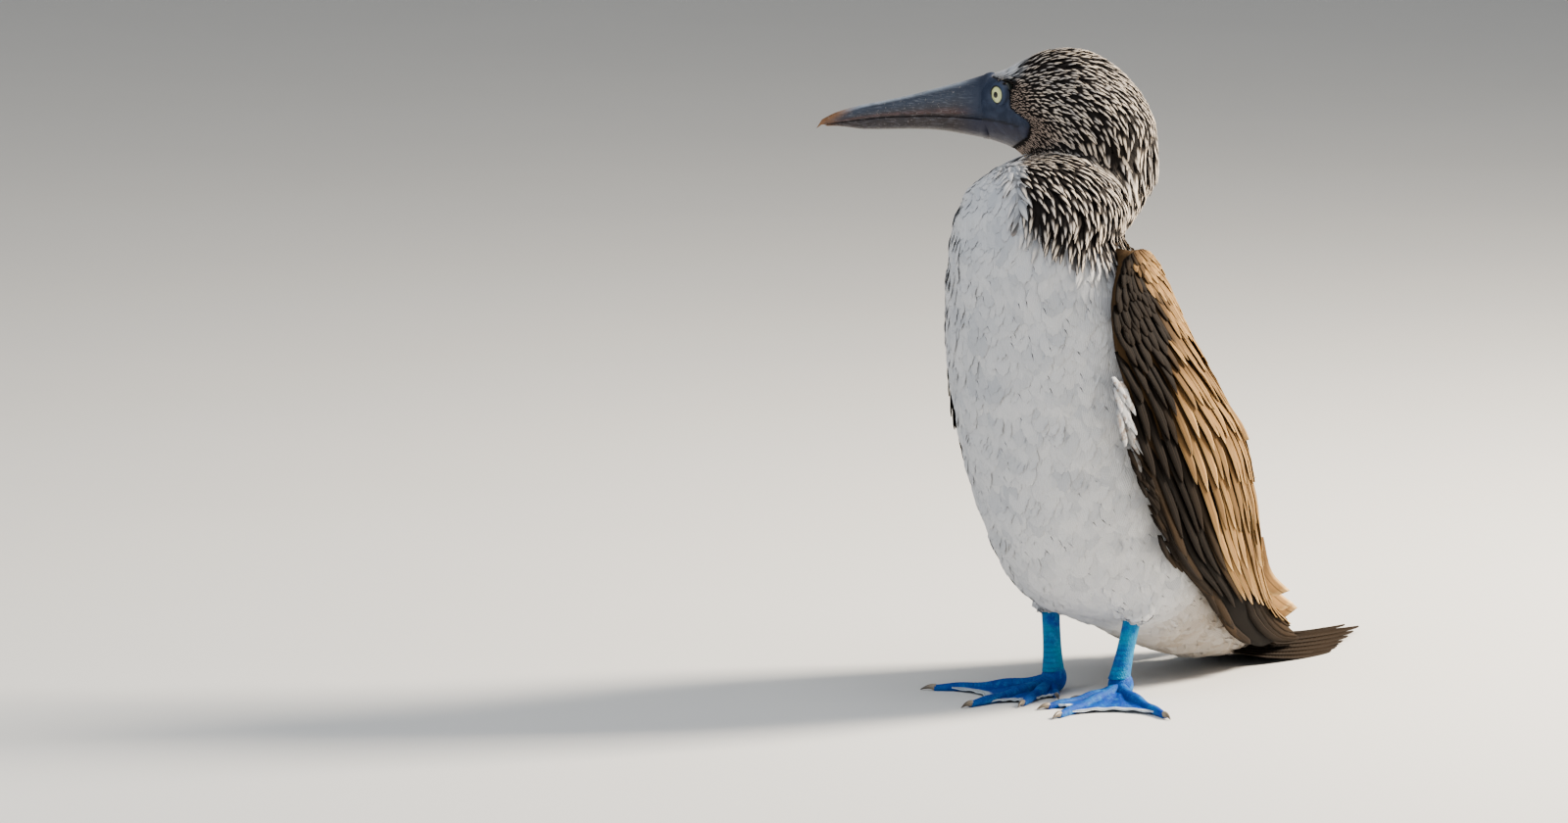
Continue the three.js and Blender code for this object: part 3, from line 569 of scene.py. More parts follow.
def grid_faces(rows, columns, wrap=False):
    """Quads of a grid of places, whose columns may close on themselves."""
    across = columns if wrap else columns - 1
    faces = []
    for i in range(rows - 1):
        for j in range(across):
            k = (j + 1) % columns
            a = i * columns
            faces.append((a + j, a + k, a + columns + k, a + columns + j))
    return faces


def feather_faces(count, rows, columns, flip=False):
    """Quads of many feathers, each a grid of places, which may be turned over."""
    one = np.array(grid_faces(rows, columns))
    if flip:
        one = one[:, ::-1]
    starts = np.arange(count) * rows * columns
    return (one[None] + starts[:, None, None]).reshape(-1, 4).tolist()


def feather_patches(roots, rows, columns):
    """The unwrap of many feathers: a small patch of each round the place of its root."""
    patch = np.stack(np.meshgrid(columns * PATCH_HALF_WIDTH, rows * PATCH_LENGTH), -1)
    return roots[:, None, None] + patch[None]


def over_feathers(values, shape):
    """Numbers by name, each spread over the places of many feathers."""
    return {key: np.broadcast_to(numbers, shape) for key, numbers in values.items()}


def tube(rings, closed=True):
    """Places and faces of a tube through rings of the same number of places, closed or open."""
    rings = np.asarray(rings, float)
    rows, columns = rings.shape[:2]
    points = rings.reshape(-1, 3)
    faces = grid_faces(rows, columns, wrap=True)
    if closed:
        first = len(points)
        base = (rows - 1) * columns
        faces += [((j + 1) % columns, j, first) for j in range(columns)]
        faces += [(base + j, base + (j + 1) % columns, first + 1) for j in range(columns)]
        points = np.vstack([points, rings[0].mean(0), rings[-1].mean(0)])
    return points, faces


class Skin:
    """The skin of the bird as places, normals and triangles, once it is made."""

    points = None
    normals = None
    triangles = None
    tree = None
    spine_tree = None
    spine = None
    spine_way = None


def read_skin(mesh):
    """Keeps the skin's places for the feathers to grow from."""
    Skin.points, Skin.normals = places_of(mesh)
    mesh.calc_loop_triangles()
    triangles = np.empty(len(mesh.loop_triangles) * 3, np.int32)
    mesh.loop_triangles.foreach_get("vertices", triangles)
    Skin.triangles = triangles.reshape(-1, 3)
    Skin.tree = BVHTree.FromPolygons(Skin.points.tolist(), Skin.triangles.tolist())
    share = np.linspace(0, 1, 400)
    Skin.spine = along_table(SPINE, share)
    Skin.spine_way = unit(np.gradient(Skin.spine, axis=0))
    Skin.spine_tree = KDTree(len(Skin.spine))
    for k, place in enumerate(Skin.spine):
        Skin.spine_tree.insert(place, k)
    Skin.spine_tree.balance()


def spine_index(points):
    """Which place of the spine lies nearest to each of the points."""
    return np.array([Skin.spine_tree.find(Vector(p))[1] for p in points])


def unwrapped(points, index):
    """A place on an unwrap of the body's own shape: round the spine, and along it."""
    middle = Skin.spine[index]
    way = Skin.spine_way[index]
    side = unit(np.cross(way, np.array([0.02, 0.35, 1.0])))
    up = np.cross(side, way)
    off = points - middle
    turn = np.arctan2((off * side).sum(-1), (off * up).sum(-1)) / (2 * math.pi) + 0.5
    return np.stack([0.02 + 0.96 * turn, 0.02 + 0.96 * index / (len(Skin.spine) - 1)], -1)


def scatter(seed, tries, region, spacing):
    """Roots spread evenly over a region of the skin; spacing gives the distance between them."""
    rng = np.random.default_rng(seed)
    corners = Skin.points[Skin.triangles]
    area = np.linalg.norm(np.cross(corners[:, 1] - corners[:, 0], corners[:, 2] - corners[:, 0]), axis=1)
    inside = region(corners.mean(1), Skin.normals[Skin.triangles].mean(1))
    area = np.where(inside, area, 0)
    pick = rng.choice(len(area), tries, p=area / area.sum())
    u, v = rng.random((2, tries))
    flip = u + v > 1
    u[flip], v[flip] = 1 - u[flip], 1 - v[flip]
    weights = np.stack([1 - u - v, u, v], -1)[..., None]
    points = (corners[pick] * weights).sum(1)
    normals = unit((Skin.normals[Skin.triangles[pick]] * weights).sum(1))
    gaps = spacing(points)
    tree = KDTree(tries)
    for k, place in enumerate(points):
        tree.insert(place, k)
    tree.balance()
    free = np.ones(tries, bool)
    kept = []
    for k in range(tries):
        if free[k]:
            kept.append(k)
            for _, other, _ in tree.find_range(points[k], gaps[k]):
                free[other] = False
    kept = np.array(kept)
    return points[kept], normals[kept]


def lie_of_coat(points, normals, rng, stray):
    """The way each feather lies: along the body, turning softly at the throat, a little astray."""
    index = spine_index(points)
    way = np.empty_like(points)
    for k in range(0, len(points), LIE_CHUNK):
        some = slice(k, k + LIE_CHUNK)
        far = ((points[some, None] - Skin.spine[None]) ** 2).sum(-1)
        share = np.exp((far.min(1, keepdims=True) - far) / (2 * LIE_REACH**2))
        way[some] = unit(share @ Skin.spine_way)
    height = points[:, 2]
    shelf = smoothstep(normals[:, 2], 0.1, 0.5) * smoothstep(height, 306, 320)
    shelf = shelf * (1 - smoothstep(height, 332, 342)) * (neck_share(points) > -3)
    way = way - shelf[:, None] * SHELF_PULL * AHEAD
    way = way + rng.normal(0, stray, points.shape)
    way = way - (way * normals).sum(-1, keepdims=True) * normals
    return unit(way), index


# Outlines of feathers: share of the length, share of the half width, share of the lift
HACKLE = np.array([[0, 0.5, 0.1], [0.3, 1.0, 0.3], [0.6, 0.9, 0.62], [0.85, 0.5, 0.9], [1, 0.05, 1.0]])
SCALE = np.array([[0, 0.55, 0], [0.3, 0.95, 0.2], [0.6, 1, 0.5], [0.82, 0.96, 0.78], [1, 0.8, 1.0]])
# How far back each column of a ragged tip lies, as a share of the length
NARROW = np.array([-1.0, 0, 1])
BROAD = np.array([-1.0, -0.68, -0.34, 0, 0.34, 0.68, 1])
RAGGED = np.array([0.1, -0.08, 0.06, -0.09, 0.07, -0.08, 0.1])
SMOOTH = np.zeros(3)


def follow_skin(roots, normals, way, outline, length):
    """Where the rows of each feather lie on the skin, and the ways out of it and along it."""
    count = len(roots)
    rows = len(outline)
    centres = np.empty((count, rows, 3))
    outs = np.empty((count, rows, 3))
    ways = np.empty((count, rows, 3))
    place = roots.copy()
    for r in range(rows):
        for k in range(count):
            near, out, _, _ = Skin.tree.find_nearest(Vector(place[k]))
            centres[k, r] = near
            outs[k, r] = out
        outs[:, r] = unit(outs[:, r] * 0.5 + normals * 0.5)
        flat = way - (way * outs[:, r]).sum(-1, keepdims=True) * outs[:, r]
        ways[:, r] = unit(flat)
        if r < rows - 1:
            step = (outline[r + 1, 0] - outline[r, 0]) * length
            place = centres[:, r] + ways[:, r] * step[:, None]
    return centres, outs, ways


def coat(name, material, slot, roots, normals, length, width, lift, outline, seed, values,
         columns=NARROW, ragged=SMOOTH, round_tip=0.0, cup=0.15, stray=0.08):
    """Many small feathers as one mesh: each follows the skin and lifts towards its tip."""
    rng = np.random.default_rng(seed)
    count = len(roots)
    way, index = lie_of_coat(roots, normals, rng, stray)
    centres, outs, ways = follow_skin(roots, normals, way, outline, length)
    across = unit(np.cross(way, normals))
    half = width[:, None] / 2 * outline[None, :, 1]
    rise = lift[:, None] * outline[None, :, 2] + FEATHER_CLEAR
    points = np.empty((count, len(outline), len(columns), 3))
    for c, side in enumerate(columns):
        up = rise + cup * (1 - side * side) * width[:, None] * outline[None, :, 1]
        split = rng.uniform(0.5, 1.4, count) * ragged[c]
        behind = (split[:, None] + round_tip * side * side) * outline[None, :, 0] ** 3 * length[:, None]
        spot = centres + across[:, None] * (half * side)[..., None] - ways * behind[..., None]
        points[:, :, c] = spot + outs * (up + 0.12 * split[:, None] * lift[:, None])[..., None]
    shape = points.shape[:3]
    numbers = {"along": outline[None, :, 0, None], "across": columns[None, None]}
    numbers.update({key: number[:, None, None] for key, number in values.items()})
    unwrap = feather_patches(unwrapped(roots, index), np.linspace(-0.5, 0.5, len(outline)), columns)
    piece = make_piece(name, points, feather_faces(*shape), material, over_feathers(numbers, shape), unwrap)
    settle(piece, slot)


def skin_finish(colours):
    """Skin under the coat, near black where hackles grow for their dark brown and painted shade between
    them, and the bare blue-grey face.
    """
    board = Board("body_skin")
    bare = board.attribute("bare")
    neck = board.attribute("neck")
    gape = board.attribute("gape")
    jaw = board.attribute("jaw")
    back = board.attribute("back")
    speck = board.cloud(900, 4)
    # near black under the hackles for their dark brown and painted shade between them
    base = board.mix(neck, colours.breast, colours.hackle_dark)
    # the back's skin takes the wing's brown as painted in shade
    base = board.mix(back, base, colours.wing_shaded)
    face = board.mix(jaw, colours.face, colours.jaw)
    face = board.mix((board.cloud(160, 5) - 0.42).ease(0.0, 0.3) * 0.3, face, FACE_PATCH)
    face = board.mix(gape * 0.8, face, MOUTH_DARK)
    height = board.cells(1500) * 0.5 + speck * 0.8 + board.cloud(350, 3)
    return board.surface(
        Base_Color=board.mix(bare, base, face),
        Roughness=0.8 - 0.36 * bare,
        Specular_IOR_Level=0.35,
        Normal=board.bump(height, 0.35, 0.0006),
    )


def hackle_finish(colours):
    """Narrow feathers, near black at the root and edges for their dark brown and painted shade, with a pale
    streak down to the tip.
    """
    board = Board("hackle_feathers")
    along = board.attribute("along")
    across = board.attribute("across")
    tone = board.attribute("tone")
    white = board.attribute("white")
    brown = board.attribute("brown")
    # the dark edges and root half stand for the hackles' dark brown and painted shade
    streak = 1 - abs(across).ease(0.24, 0.72)
    pale = (along + tone * 0.12).ease(0.38, 0.68) * streak
    tip = board.mix(tone.ease(-1.0, 1.0), colours.hackle_tip, colours.hackle_warm)
    tip = board.mix(brown, tip, colours.hackle_brown)
    base = board.mix(pale, colours.hackle_dark, tip)
    soft = board.mix(along.ease(0.0, 0.5), colours.breast_root, colours.breast)
    base = board.mix(white, base, soft)
    barbs = (along * 60 + abs(across) * 9).sine()
    return board.surface(
        Base_Color=base,
        Roughness=0.75,
        Specular_IOR_Level=0.25,
        Normal=board.bump(barbs, 0.25, 0.0002),
    )


def breast_finish(colours):
    """White body feathers with blue-grey roots, painted blue-grey shade in soft ripples, creamy buff
    darkened as painted shade under the tail, and brown ones where the tone says so.
    """
    board = Board("breast_feathers")
    along = board.attribute("along")
    across = board.attribute("across")
    tone = board.attribute("tone")
    brown = board.attribute("brown")
    cream_in_shade = board.attribute("cream_in_shade")
    shade = (1 - along.ease(0.0, 0.6)) * 0.35
    base = board.mix(shade.clamped(), colours.breast, colours.breast_root)
    # painted blue-grey shade in soft ripples, following the tone
    base = board.mix(tone.ease(-0.5, 1.4) * 0.75, base, BREAST_RIPPLE_SHADE)
    # creamy buff behind the legs, darkened as painted shade under the tail
    base = board.mix(cream_in_shade, base, colours.undertail_in_shade)
    mottle = board.mix(along.ease(0.5, 1.0), colours.hackle_dark, FLECK_TIP)
    barbs = (across * 30 + along * 4).sine()
    return board.surface(
        Base_Color=board.mix(brown, base, mottle),
        Roughness=0.9,
        Sheen_Weight=0.25,
        Normal=board.bump(barbs, 0.3, 0.0003),
    )


def vane_finish(name, colours, fringe):
    """Large feathers: a dark shaft, fine barbs, and paler worn edges and tips; dark where painted in shade,
    tan where painted in sunlight, with painted shade on their covered roots.
    """
    board = Board(name)
    along = board.attribute("along")
    across = board.attribute("across")
    tone = board.attribute("tone")
    gold = board.attribute("gold")
    white = board.attribute("white")
    side = abs(across)
    # share of painted sunlight: tan where lit, dark brown where painted in shade
    golden = (gold + tone * 0.2 * gold.ease(0.1, 0.5)).clamped()
    base = board.mix(golden, colours.wing_shaded, colours.wing_sunlit)
    # painted shade on the covered root half
    root_shade = 1 - along.ease(0.3, 0.75)
    base = board.mix(root_shade * 0.75, base, board.mix(golden, *VANE_ROOT_SHADE))
    base = board.mix((1 - tone.ease(-1.0, 0.2)) * 0.5 * golden, base, VANE_DULL)
    streak = (across * 6 + tone * 9 + along * 3).sine() * 0.5 + 0.5
    base = board.mix(streak * 0.25, base, board.mix(golden, *VANE_STREAK))
    worn = side.ease(0.45, 0.95) * along.ease(0.3, 0.8) * 0.8 + along.ease(0.86, 1.0) * 0.8
    worn = worn * (0.55 + 0.45 * board.cloud(420, 3)) * fringe
    # worn edges, darker in painted shade and paler in painted sunlight
    edge = board.mix(golden * golden, colours.dark_edge, colours.wing_edge)
    base = board.mix(worn.clamped(), base, edge)
    shaft = (1 - side.ease(0.03, 0.12)) * along.ease(0.02, 0.1)
    base = board.mix(shaft * 0.75, base, board.mix(golden, *VANE_SHAFT))
    mottled = board.mix(board.cloud(260, 3).ease(0.5, 0.62) * 0.7, colours.breast, WHITE_MOTTLE)
    base = board.mix(white, base, mottled)
    barbs = (along * 210 + side * 26).sine()
    ridge = (1 - side.ease(0.0, 0.12)) * 3
    return board.surface(
        Base_Color=base,
        Roughness=0.72,
        Specular_IOR_Level=0.16,
        Normal=board.bump(barbs + ridge, 0.22, 0.0004),
    )


def bill_finish(colours):
    """Horn: blue-grey, purple-brown low on the sides, orange-brown at the tip, and scuffed, with a painted
    highlight along the ridge.
    """
    board = Board("bill_horn")
    share = board.attribute("share")
    up = board.attribute("up")
    streaks = board.add("ShaderNodeMapping", None, {"Vector": board.where, "Scale": (60, 135, 900)})
    grain = board.add("ShaderNodeTexNoise", None, {"Vector": streaks, "Scale": 3.0, "Detail": 6.0})
    base = board.mix((up + grain * 0.25).ease(0.25, 0.8), colours.bill_low, colours.bill_side)
    line = up.ease(0.04, 0.12) * (1 - up.ease(0.16, 0.34)) * (grain.ease(0.35, 0.6) * 0.7 + 0.2)
    base = board.mix(line * (1 - board.attribute("low")), base, colours.bill_line)
    # painted highlight along the ridge of the bill
    base = board.mix(up.ease(0.8, 1.0) * (0.5 + 0.5 * grain), base, colours.bill_ridge_highlight)
    base = board.mix((grain - 0.5).ease(0.02, 0.2) * 0.35, base, BILL_SCUFF)
    base = board.mix((share + up * 0.12).ease(0.84, 1.02), base, colours.bill_tip)
    chips = (board.cloud(520, 6, 0.75) - 0.56).ease(0.02, 0.1)
    base = board.mix(chips * 0.5, base, BILL_CHIP)
    dark = (0.56 - board.cloud(90, 5)).ease(0.02, 0.2)
    base = board.mix(dark * 0.35, base, BILL_STAIN)
    face = board.mix(board.attribute("low"), colours.face, colours.jaw)
    base = board.mix((share + grain * 0.06).ease(0.02, 0.2), face, base)
    return board.surface(
        Base_Color=base,
        Roughness=0.36 + 0.3 * chips + 0.14 * grain,
        Normal=board.bump(grain * 0.9 + chips * 0.6, 0.45, 0.0005),
    )


def eye_finish(colours):
    """A wet eye: small black pupil, pale yellow-green iris with a dark rim."""
    board = Board("eye_gloss")
    ring = board.attribute("ring")
    spokes = board.attribute("spokes")
    iris = board.mix(ring.ease(2.0, 4.6) * 0.45 + spokes * 0.2, colours.iris, IRIS_OUTER)
    iris = board.mix(ring.ease(4.55, 5.1), iris, IRIS_RIM)
    pupil = 1 - ring.ease(1.85, 2.05)
    return board.surface(
        Base_Color=board.mix(pupil, iris, PUPIL),
        Roughness=0.12,
        Coat_Weight=1.0,
        Coat_Roughness=0.02,
    )


def lid_finish(colours):
    """Bare ring round the eye: dark at the rim, blue-grey outside it."""
    board = Board("lid_skin")
    ring = board.attribute("ring")
    base = board.mix(ring.ease(5.5, 6.1), LID_RIM, LID_SKIN)
    base = board.mix(ring.ease(6.9, 8.2), base, colours.face)
    height = board.cells(1800) + board.cloud(1200, 3)
    return board.surface(Base_Color=base, Roughness=0.45, Normal=board.bump(height, 0.4, 0.0004))


def foot_finish(name, colours, base_colour, cells):
    """Scaly blue skin, darker in the grooves between its scutes and with painted shade in the folds of the
    webs, with a pale margin where the web ends.
    """
    board = Board(name)
    margin = board.attribute("margin")
    groove = board.attribute("groove")
    scales = board.cells(cells)
    patch = board.cloud(70, 4)
    base = board.mix((patch - 0.35).ease(0.0, 0.35), base_colour, colours.foot_deep)
    base = board.mix((0.5 - board.cloud(190, 5)).ease(0.0, 0.2) * 0.5, base, colours.foot_pale)
    base = board.mix((1 - scales.ease(0.0, 0.12)) * 0.35, base, colours.foot_dark)
    # darker in the grooves between scutes, and painted shade in the folds of the webs
    base = board.mix(groove * 0.7, base, colours.foot_dark)
    base = board.mix(margin, base, WEB_MARGIN)
    return board.surface(
        Base_Color=base,
        Roughness=0.46 + 0.25 * patch,
        Specular_IOR_Level=0.3,
        Normal=board.bump(scales.ease(0.0, 0.25) + 0.5 * board.cloud(600, 3), 0.5, 0.0005),
    )


def claw_finish():
    """Horn that darkens towards the tip."""
    board = Board("claw_horn")
    share = board.attribute("share")
    base = board.mix(share.ease(0.1, 0.9) + board.cloud(700, 3) * 0.2 - 0.1, CLAW_ROOT, CLAW_TIP)
    return board.surface(
        Base_Color=base,
        Roughness=0.35,
        Normal=board.bump(board.cloud(900, 4), 0.3, 0.0003),
    )


class BoobyCoatSizes(bpy.types.PropertyGroup):
    """Sizes of the feathers"""

    skin_grain: FloatProperty(name="Skin grain", description="Size of the skin's faces", default=1.3 * MM,
                              unit="LENGTH")
    coat_depth: FloatProperty(name="Coat depth", description="How far the skin lies under the solids",
                              default=1.2 * MM, unit="LENGTH")
    hackle_length: FloatProperty(name="Hackle length", description="Longest hackles, low on the neck",
                                 default=15 * MM, unit="LENGTH")
    hackle_gap: FloatProperty(name="Hackle gap", description="Distance between hackles low on the neck",
                              default=4.15 * MM, unit="LENGTH")
    breast_length: FloatProperty(name="Breast feather length", description="Feathers of breast and belly",
                                 default=15 * MM, unit="LENGTH")
    breast_gap: FloatProperty(name="Breast feather gap", description="Distance between breast feathers",
                              default=4.6 * MM, unit="LENGTH")
    wing_rows: IntProperty(name="Covert rows", description="Rows of small coverts on the wing", default=8,
                           min=3, max=14)
    seed: IntProperty(name="Seed", description="Start of every random draw", default=11, min=0)


def colour(name, description, default):
    """A colour of the panel."""
    return FloatVectorProperty(name=name, description=description, default=default, subtype="COLOR",
                               size=3, min=0, max=1)


class BoobyColours(bpy.types.PropertyGroup):
    """Colours of plumage, skin and horn"""

    # white plumage set greyer to paint the shade the breast lies in
    breast: colour("Breast", "White of breast and belly", (0.57, 0.58, 0.60))
    breast_root: colour("Feather roots", "Roots of the white feathers", (0.42, 0.44, 0.485))
    # creamy buff darkened to paint the shade under the tail
    undertail_in_shade: colour("Undertail", "Cream buff behind the legs", (0.30, 0.235, 0.17))
    # near black for the hackles' dark brown and painted shade between them
    hackle_dark: colour("Hackle roots", "Near black brown between the hackles", (0.011, 0.008, 0.007))
    hackle_tip: colour("Hackle tips", "Pale tips of the hackles", (0.50, 0.465, 0.44))
    hackle_warm: colour("Warm hackle tips", "Creamy tips of some hackles", (0.74, 0.64, 0.53))
    hackle_brown: colour("Face feathers", "Brown tips of the feathers by the face", (0.44, 0.34, 0.28))
    # the wing's brown and its worn edges: dark in painted shade, tan in painted sunlight
    wing_shaded: colour("Wing dark", "Darkest brown of the wing", (0.0085, 0.006, 0.0045))
    wing_sunlit: colour("Wing gold", "Golden tan of the long coverts", (0.34, 0.20, 0.085))
    dark_edge: colour("Dark edges", "Worn edges of the dark feathers", (0.021, 0.014, 0.0095))
    wing_edge: colour("Wing edges", "Worn edges of the golden feathers", (0.74, 0.52, 0.27))
    face: colour("Face", "Bare skin of the face", (0.020, 0.030, 0.058))
    jaw: colour("Jaw", "Bare skin of the lower jaw and throat", (0.036, 0.037, 0.062))
    # the pale ridge is a painted highlight
    bill_ridge_highlight: colour("Bill ridge", "Pale ridge of the bill", (0.34, 0.39, 0.46))
    bill_side: colour("Bill side", "Blue-grey side of the bill", (0.036, 0.046, 0.070))
    bill_low: colour("Bill low", "Purple-brown low on the bill", (0.044, 0.033, 0.034))
    bill_line: colour("Bill line", "Reddish brown line above the mouth", (0.105, 0.050, 0.040))
    bill_tip: colour("Bill tip", "Orange-brown tip", (0.25, 0.125, 0.055))
    iris: colour("Iris", "Pale yellow-green of the eye", (0.72, 0.74, 0.40))
    shank: colour("Shank", "Turquoise of the legs", (0.010, 0.27, 0.46))
    web: colour("Web", "Blue of the webs", (0.006, 0.088, 0.42))
    toe: colour("Toe", "Blue of the toes", (0.008, 0.13, 0.44))
    foot_deep: colour("Foot deep", "Deep blue patches", (0.007, 0.06, 0.36))
    foot_pale: colour("Foot pale", "Pale blue patches", (0.06, 0.33, 0.62))
    # also paints shade in the folds of the webs
    foot_dark: colour("Foot creases", "Dark blue in creases", (0.008, 0.04, 0.17))


def coat_sizes():
    """The sizes set in the panel."""
    return bpy.context.scene.booby_coat


def colours():
    """The colours set in the panel."""
    return bpy.context.scene.booby_colours


class BoobySkin(bpy.types.Operator):
    """One skin for head, neck, torso and thighs, with the bare face"""

    bl_idname = "booby.skin"
    bl_label = "Skin"
    nodes = ("torso", "neck", "head", "thigh_left", "thigh_right")

    def ease_folds(self, piece):
        """Smooths the skin more where the head meets the neck and where the wings lie."""
        ahead, _, height = head_coordinates(places_of(piece.data)[0])
        fold = smoothstep(height, 296, 312) * (1 - smoothstep(height, 346, 358))
        fold = fold * (1 - smoothstep(ahead, 14, 26))
        trunk = (1 - smoothstep(height, 270, 290)) * smoothstep(height, 40, 60) * 0.6
        group = piece.vertex_groups.new(name="folds")
        for level in np.linspace(0.1, 1, 10):
            chosen = np.flatnonzero(np.abs(np.maximum(fold, trunk) - level) <= 0.05)
            group.add(chosen.tolist(), float(level), "REPLACE")
        add_smoothing(piece, "ease", *EASE_FOLDS).vertex_group = "folds"
        bake_modifiers(piece)
        piece.vertex_groups.clear()

    def join_solids(self):
        """The solids of the flesh as one even mesh."""
        points, faces = [], []
        for name in self.nodes:
            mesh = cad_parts[name].data
            base = len(points)
            points += [(np.array(v.co) - HOME) / MM for v in mesh.vertices]
            faces += [tuple(base + k for k in p.vertices) for p in mesh.polygons]
        piece = make_piece("body_skin", points, faces, skin_finish(colours()))
        remesh = piece.modifiers.new("even", "REMESH")
        remesh.mode = "VOXEL"
        remesh.voxel_size = coat_sizes().skin_grain
        add_smoothing(piece, "soften", *SOFTEN)
        bake_modifiers(piece)
        self.ease_folds(piece)
        return piece

    def execute(self, context):
        piece = self.join_solids()
        mesh = piece.data
        place, normal = places_of(mesh)
        pull = np.interp(place[:, 2], *NAPE_PULL) * smoothstep(place @ VIEW_RIGHT, *NAPE_SIDE)
        place = place - pull[:, None] * VIEW_RIGHT
        bare = smoothstep(bare_share(place), -0.5, 1.0) * smoothstep(place[:, 2], 331, 336)
        depth = coat_sizes().coat_depth / MM * (1 - bare) + 0.1 * bare
        swell = SWELL_HIGH * wobble(place * SWELL_FLAT, SWELL_SIZE, 21)
        swell = swell * (1 - bare) * (1 - smoothstep(neck_share(place), -8, 0))
        place = place + normal * (swell - depth)[:, None]
        mesh.vertices.foreach_set("co", (place * MM + HOME).astype(np.float32).ravel())
        ahead, _, height = head_coordinates(place)
        mouth = np.interp(ahead, *MOUTH_LINE)
        in_mouth = (ahead > MOUTH_CORNER) * (1 - smoothstep(np.abs(height - mouth), 0.35, 1.0))
        set_values(mesh, {
            "bare": bare,
            "neck": smoothstep(neck_share(place), -6, 3),
            "jaw": 1 - smoothstep(height - mouth, -1.5, 1.0),
            "gape": in_mouth,
            "back": smoothstep(normal[:, 1], 0.1, 0.4) * (neck_share(place) < 0) * (place[:, 2] > 26),
        })
        mesh.polygons.foreach_set("use_smooth", [True] * len(mesh.polygons))
        mesh.update()
        mesh.materials.clear()
        mesh.materials.append(bpy.data.materials["body_skin"])
        read_skin(mesh)
        settle(piece, "breast_feathers", *self.nodes)
        return {"FINISHED"}


def hackle_scale(points):
    """Size of the hackles: 1 low on the neck, smallest round the bill and on the throat."""
    height = points[..., 2]
    behind = -bare_share(points)
    behind = np.where(height > FACE_BOTTOM, behind, 50)
    low = smoothstep(-height, -388, -330)
    crown = smoothstep(height, 378, 390) * smoothstep(behind, 4, 14)
    least, by_distance, by_crown, by_neck = HACKLE_SIZES
    size = least + by_distance * smoothstep(behind, 0, 20) + by_crown * crown
    return size + by_neck * smoothstep(behind, 14, 55) * low


class BoobyHackles(bpy.types.Operator):
    """Hackles of the head and neck"""

    bl_idname = "booby.hackles"
    bl_label = "Hackles"

    def execute(self, context):
        sizes = coat_sizes()
        gap = sizes.hackle_gap / MM
        material = hackle_finish(colours())

        def hackled(points):
            return (neck_share(points) > -5) & (bare_share(points) < 0.2)

        def face(points, normals):
            return hackled(points) & (hackle_scale(points) < HACKLE_SPLIT)

        def nape(points, normals):
            return hackled(points) & (hackle_scale(points) >= HACKLE_SPLIT)

        for k, (name, region) in enumerate((("face_hackles", face), ("nape_hackles", nape))):
            seed = sizes.seed + 3 * k
            roots, normals = scatter(seed, HACKLE_TRIES, region, lambda p: gap * hackle_scale(p))
            rng = np.random.default_rng(seed + 1)
            count = len(roots)
            scale = hackle_scale(roots)
            length = sizes.hackle_length / MM * scale * rng.uniform(0.85, 1.2, count)
            under = smoothstep(-normals[:, 2], -0.3, 0.2)
            length *= 1 + FOLD_LONGER * under * np.exp(-(((roots[:, 2] - FOLD_Z) / FOLD_HIGH) ** 2))
            width = length * (0.235 + 0.1 * (1 - scale)) * rng.uniform(0.85, 1.15, count)
            ahead, _, height = head_coordinates(roots)
            forehead = smoothstep(ahead, 37, 50) * smoothstep(height, 377, 382)
            collar = neck_share(roots) + 3.5 * wobble(roots, 9, 3)
            brown = 1 - smoothstep(-bare_share(roots), 4, 26)
            brown = brown * (1 - smoothstep(height, 374, 384)) * 0.9
            values = {
                "tone": rng.uniform(-1, 1, count),
                "white": np.clip(forehead * 0.9 + 0.8 * (1 - smoothstep(collar, -4, 2)), 0, 1),
                "brown": np.clip(brown + 0.12 * rng.random(count), 0, 1),
            }
            coat(name, material, "hackle_feathers", roots, normals, length, width,
                 (0.12 + 0.07 * scale) * length, HACKLE, seed + 2, values, cup=0.2, stray=0.14)
        return {"FINISHED"}


def on_back(points, normals):
    """Whether places lie on the brown back between the wings."""
    upper = normals[:, 1] * 0.8 + normals[:, 2] * 0.6 > 0.25
    above_legs = ((points[:, 2] > 80) | (points[:, 1] > 70)) & (points[:, 2] < BACK_TOP)
    return upper & above_legs & (points[:, 1] > -45) & (neck_share(points) < 4) & (points[:, 2] > 30)


def white_parts(points, normals):
    """Whether places carry the white feathers of breast and belly."""
    return (neck_share(points) < 2) & (bare_share(points) < -4) & ~on_back(points, normals)


def wing_front_gap(points):
    """How far places lie from the leading edge of the nearer wing, in mm."""
    along = np.linspace(0.1, 0.7, 60)
    nearest = np.full(len(points), 1e3)
    for _, side in SIDES:
        edge = wing_place(along, np.zeros(60), side) * np.array([side, 1, 1])
        gaps = np.linalg.norm(points[:, None] - edge[None], axis=-1).min(1)
        nearest = np.minimum(nearest, gaps)
    return nearest


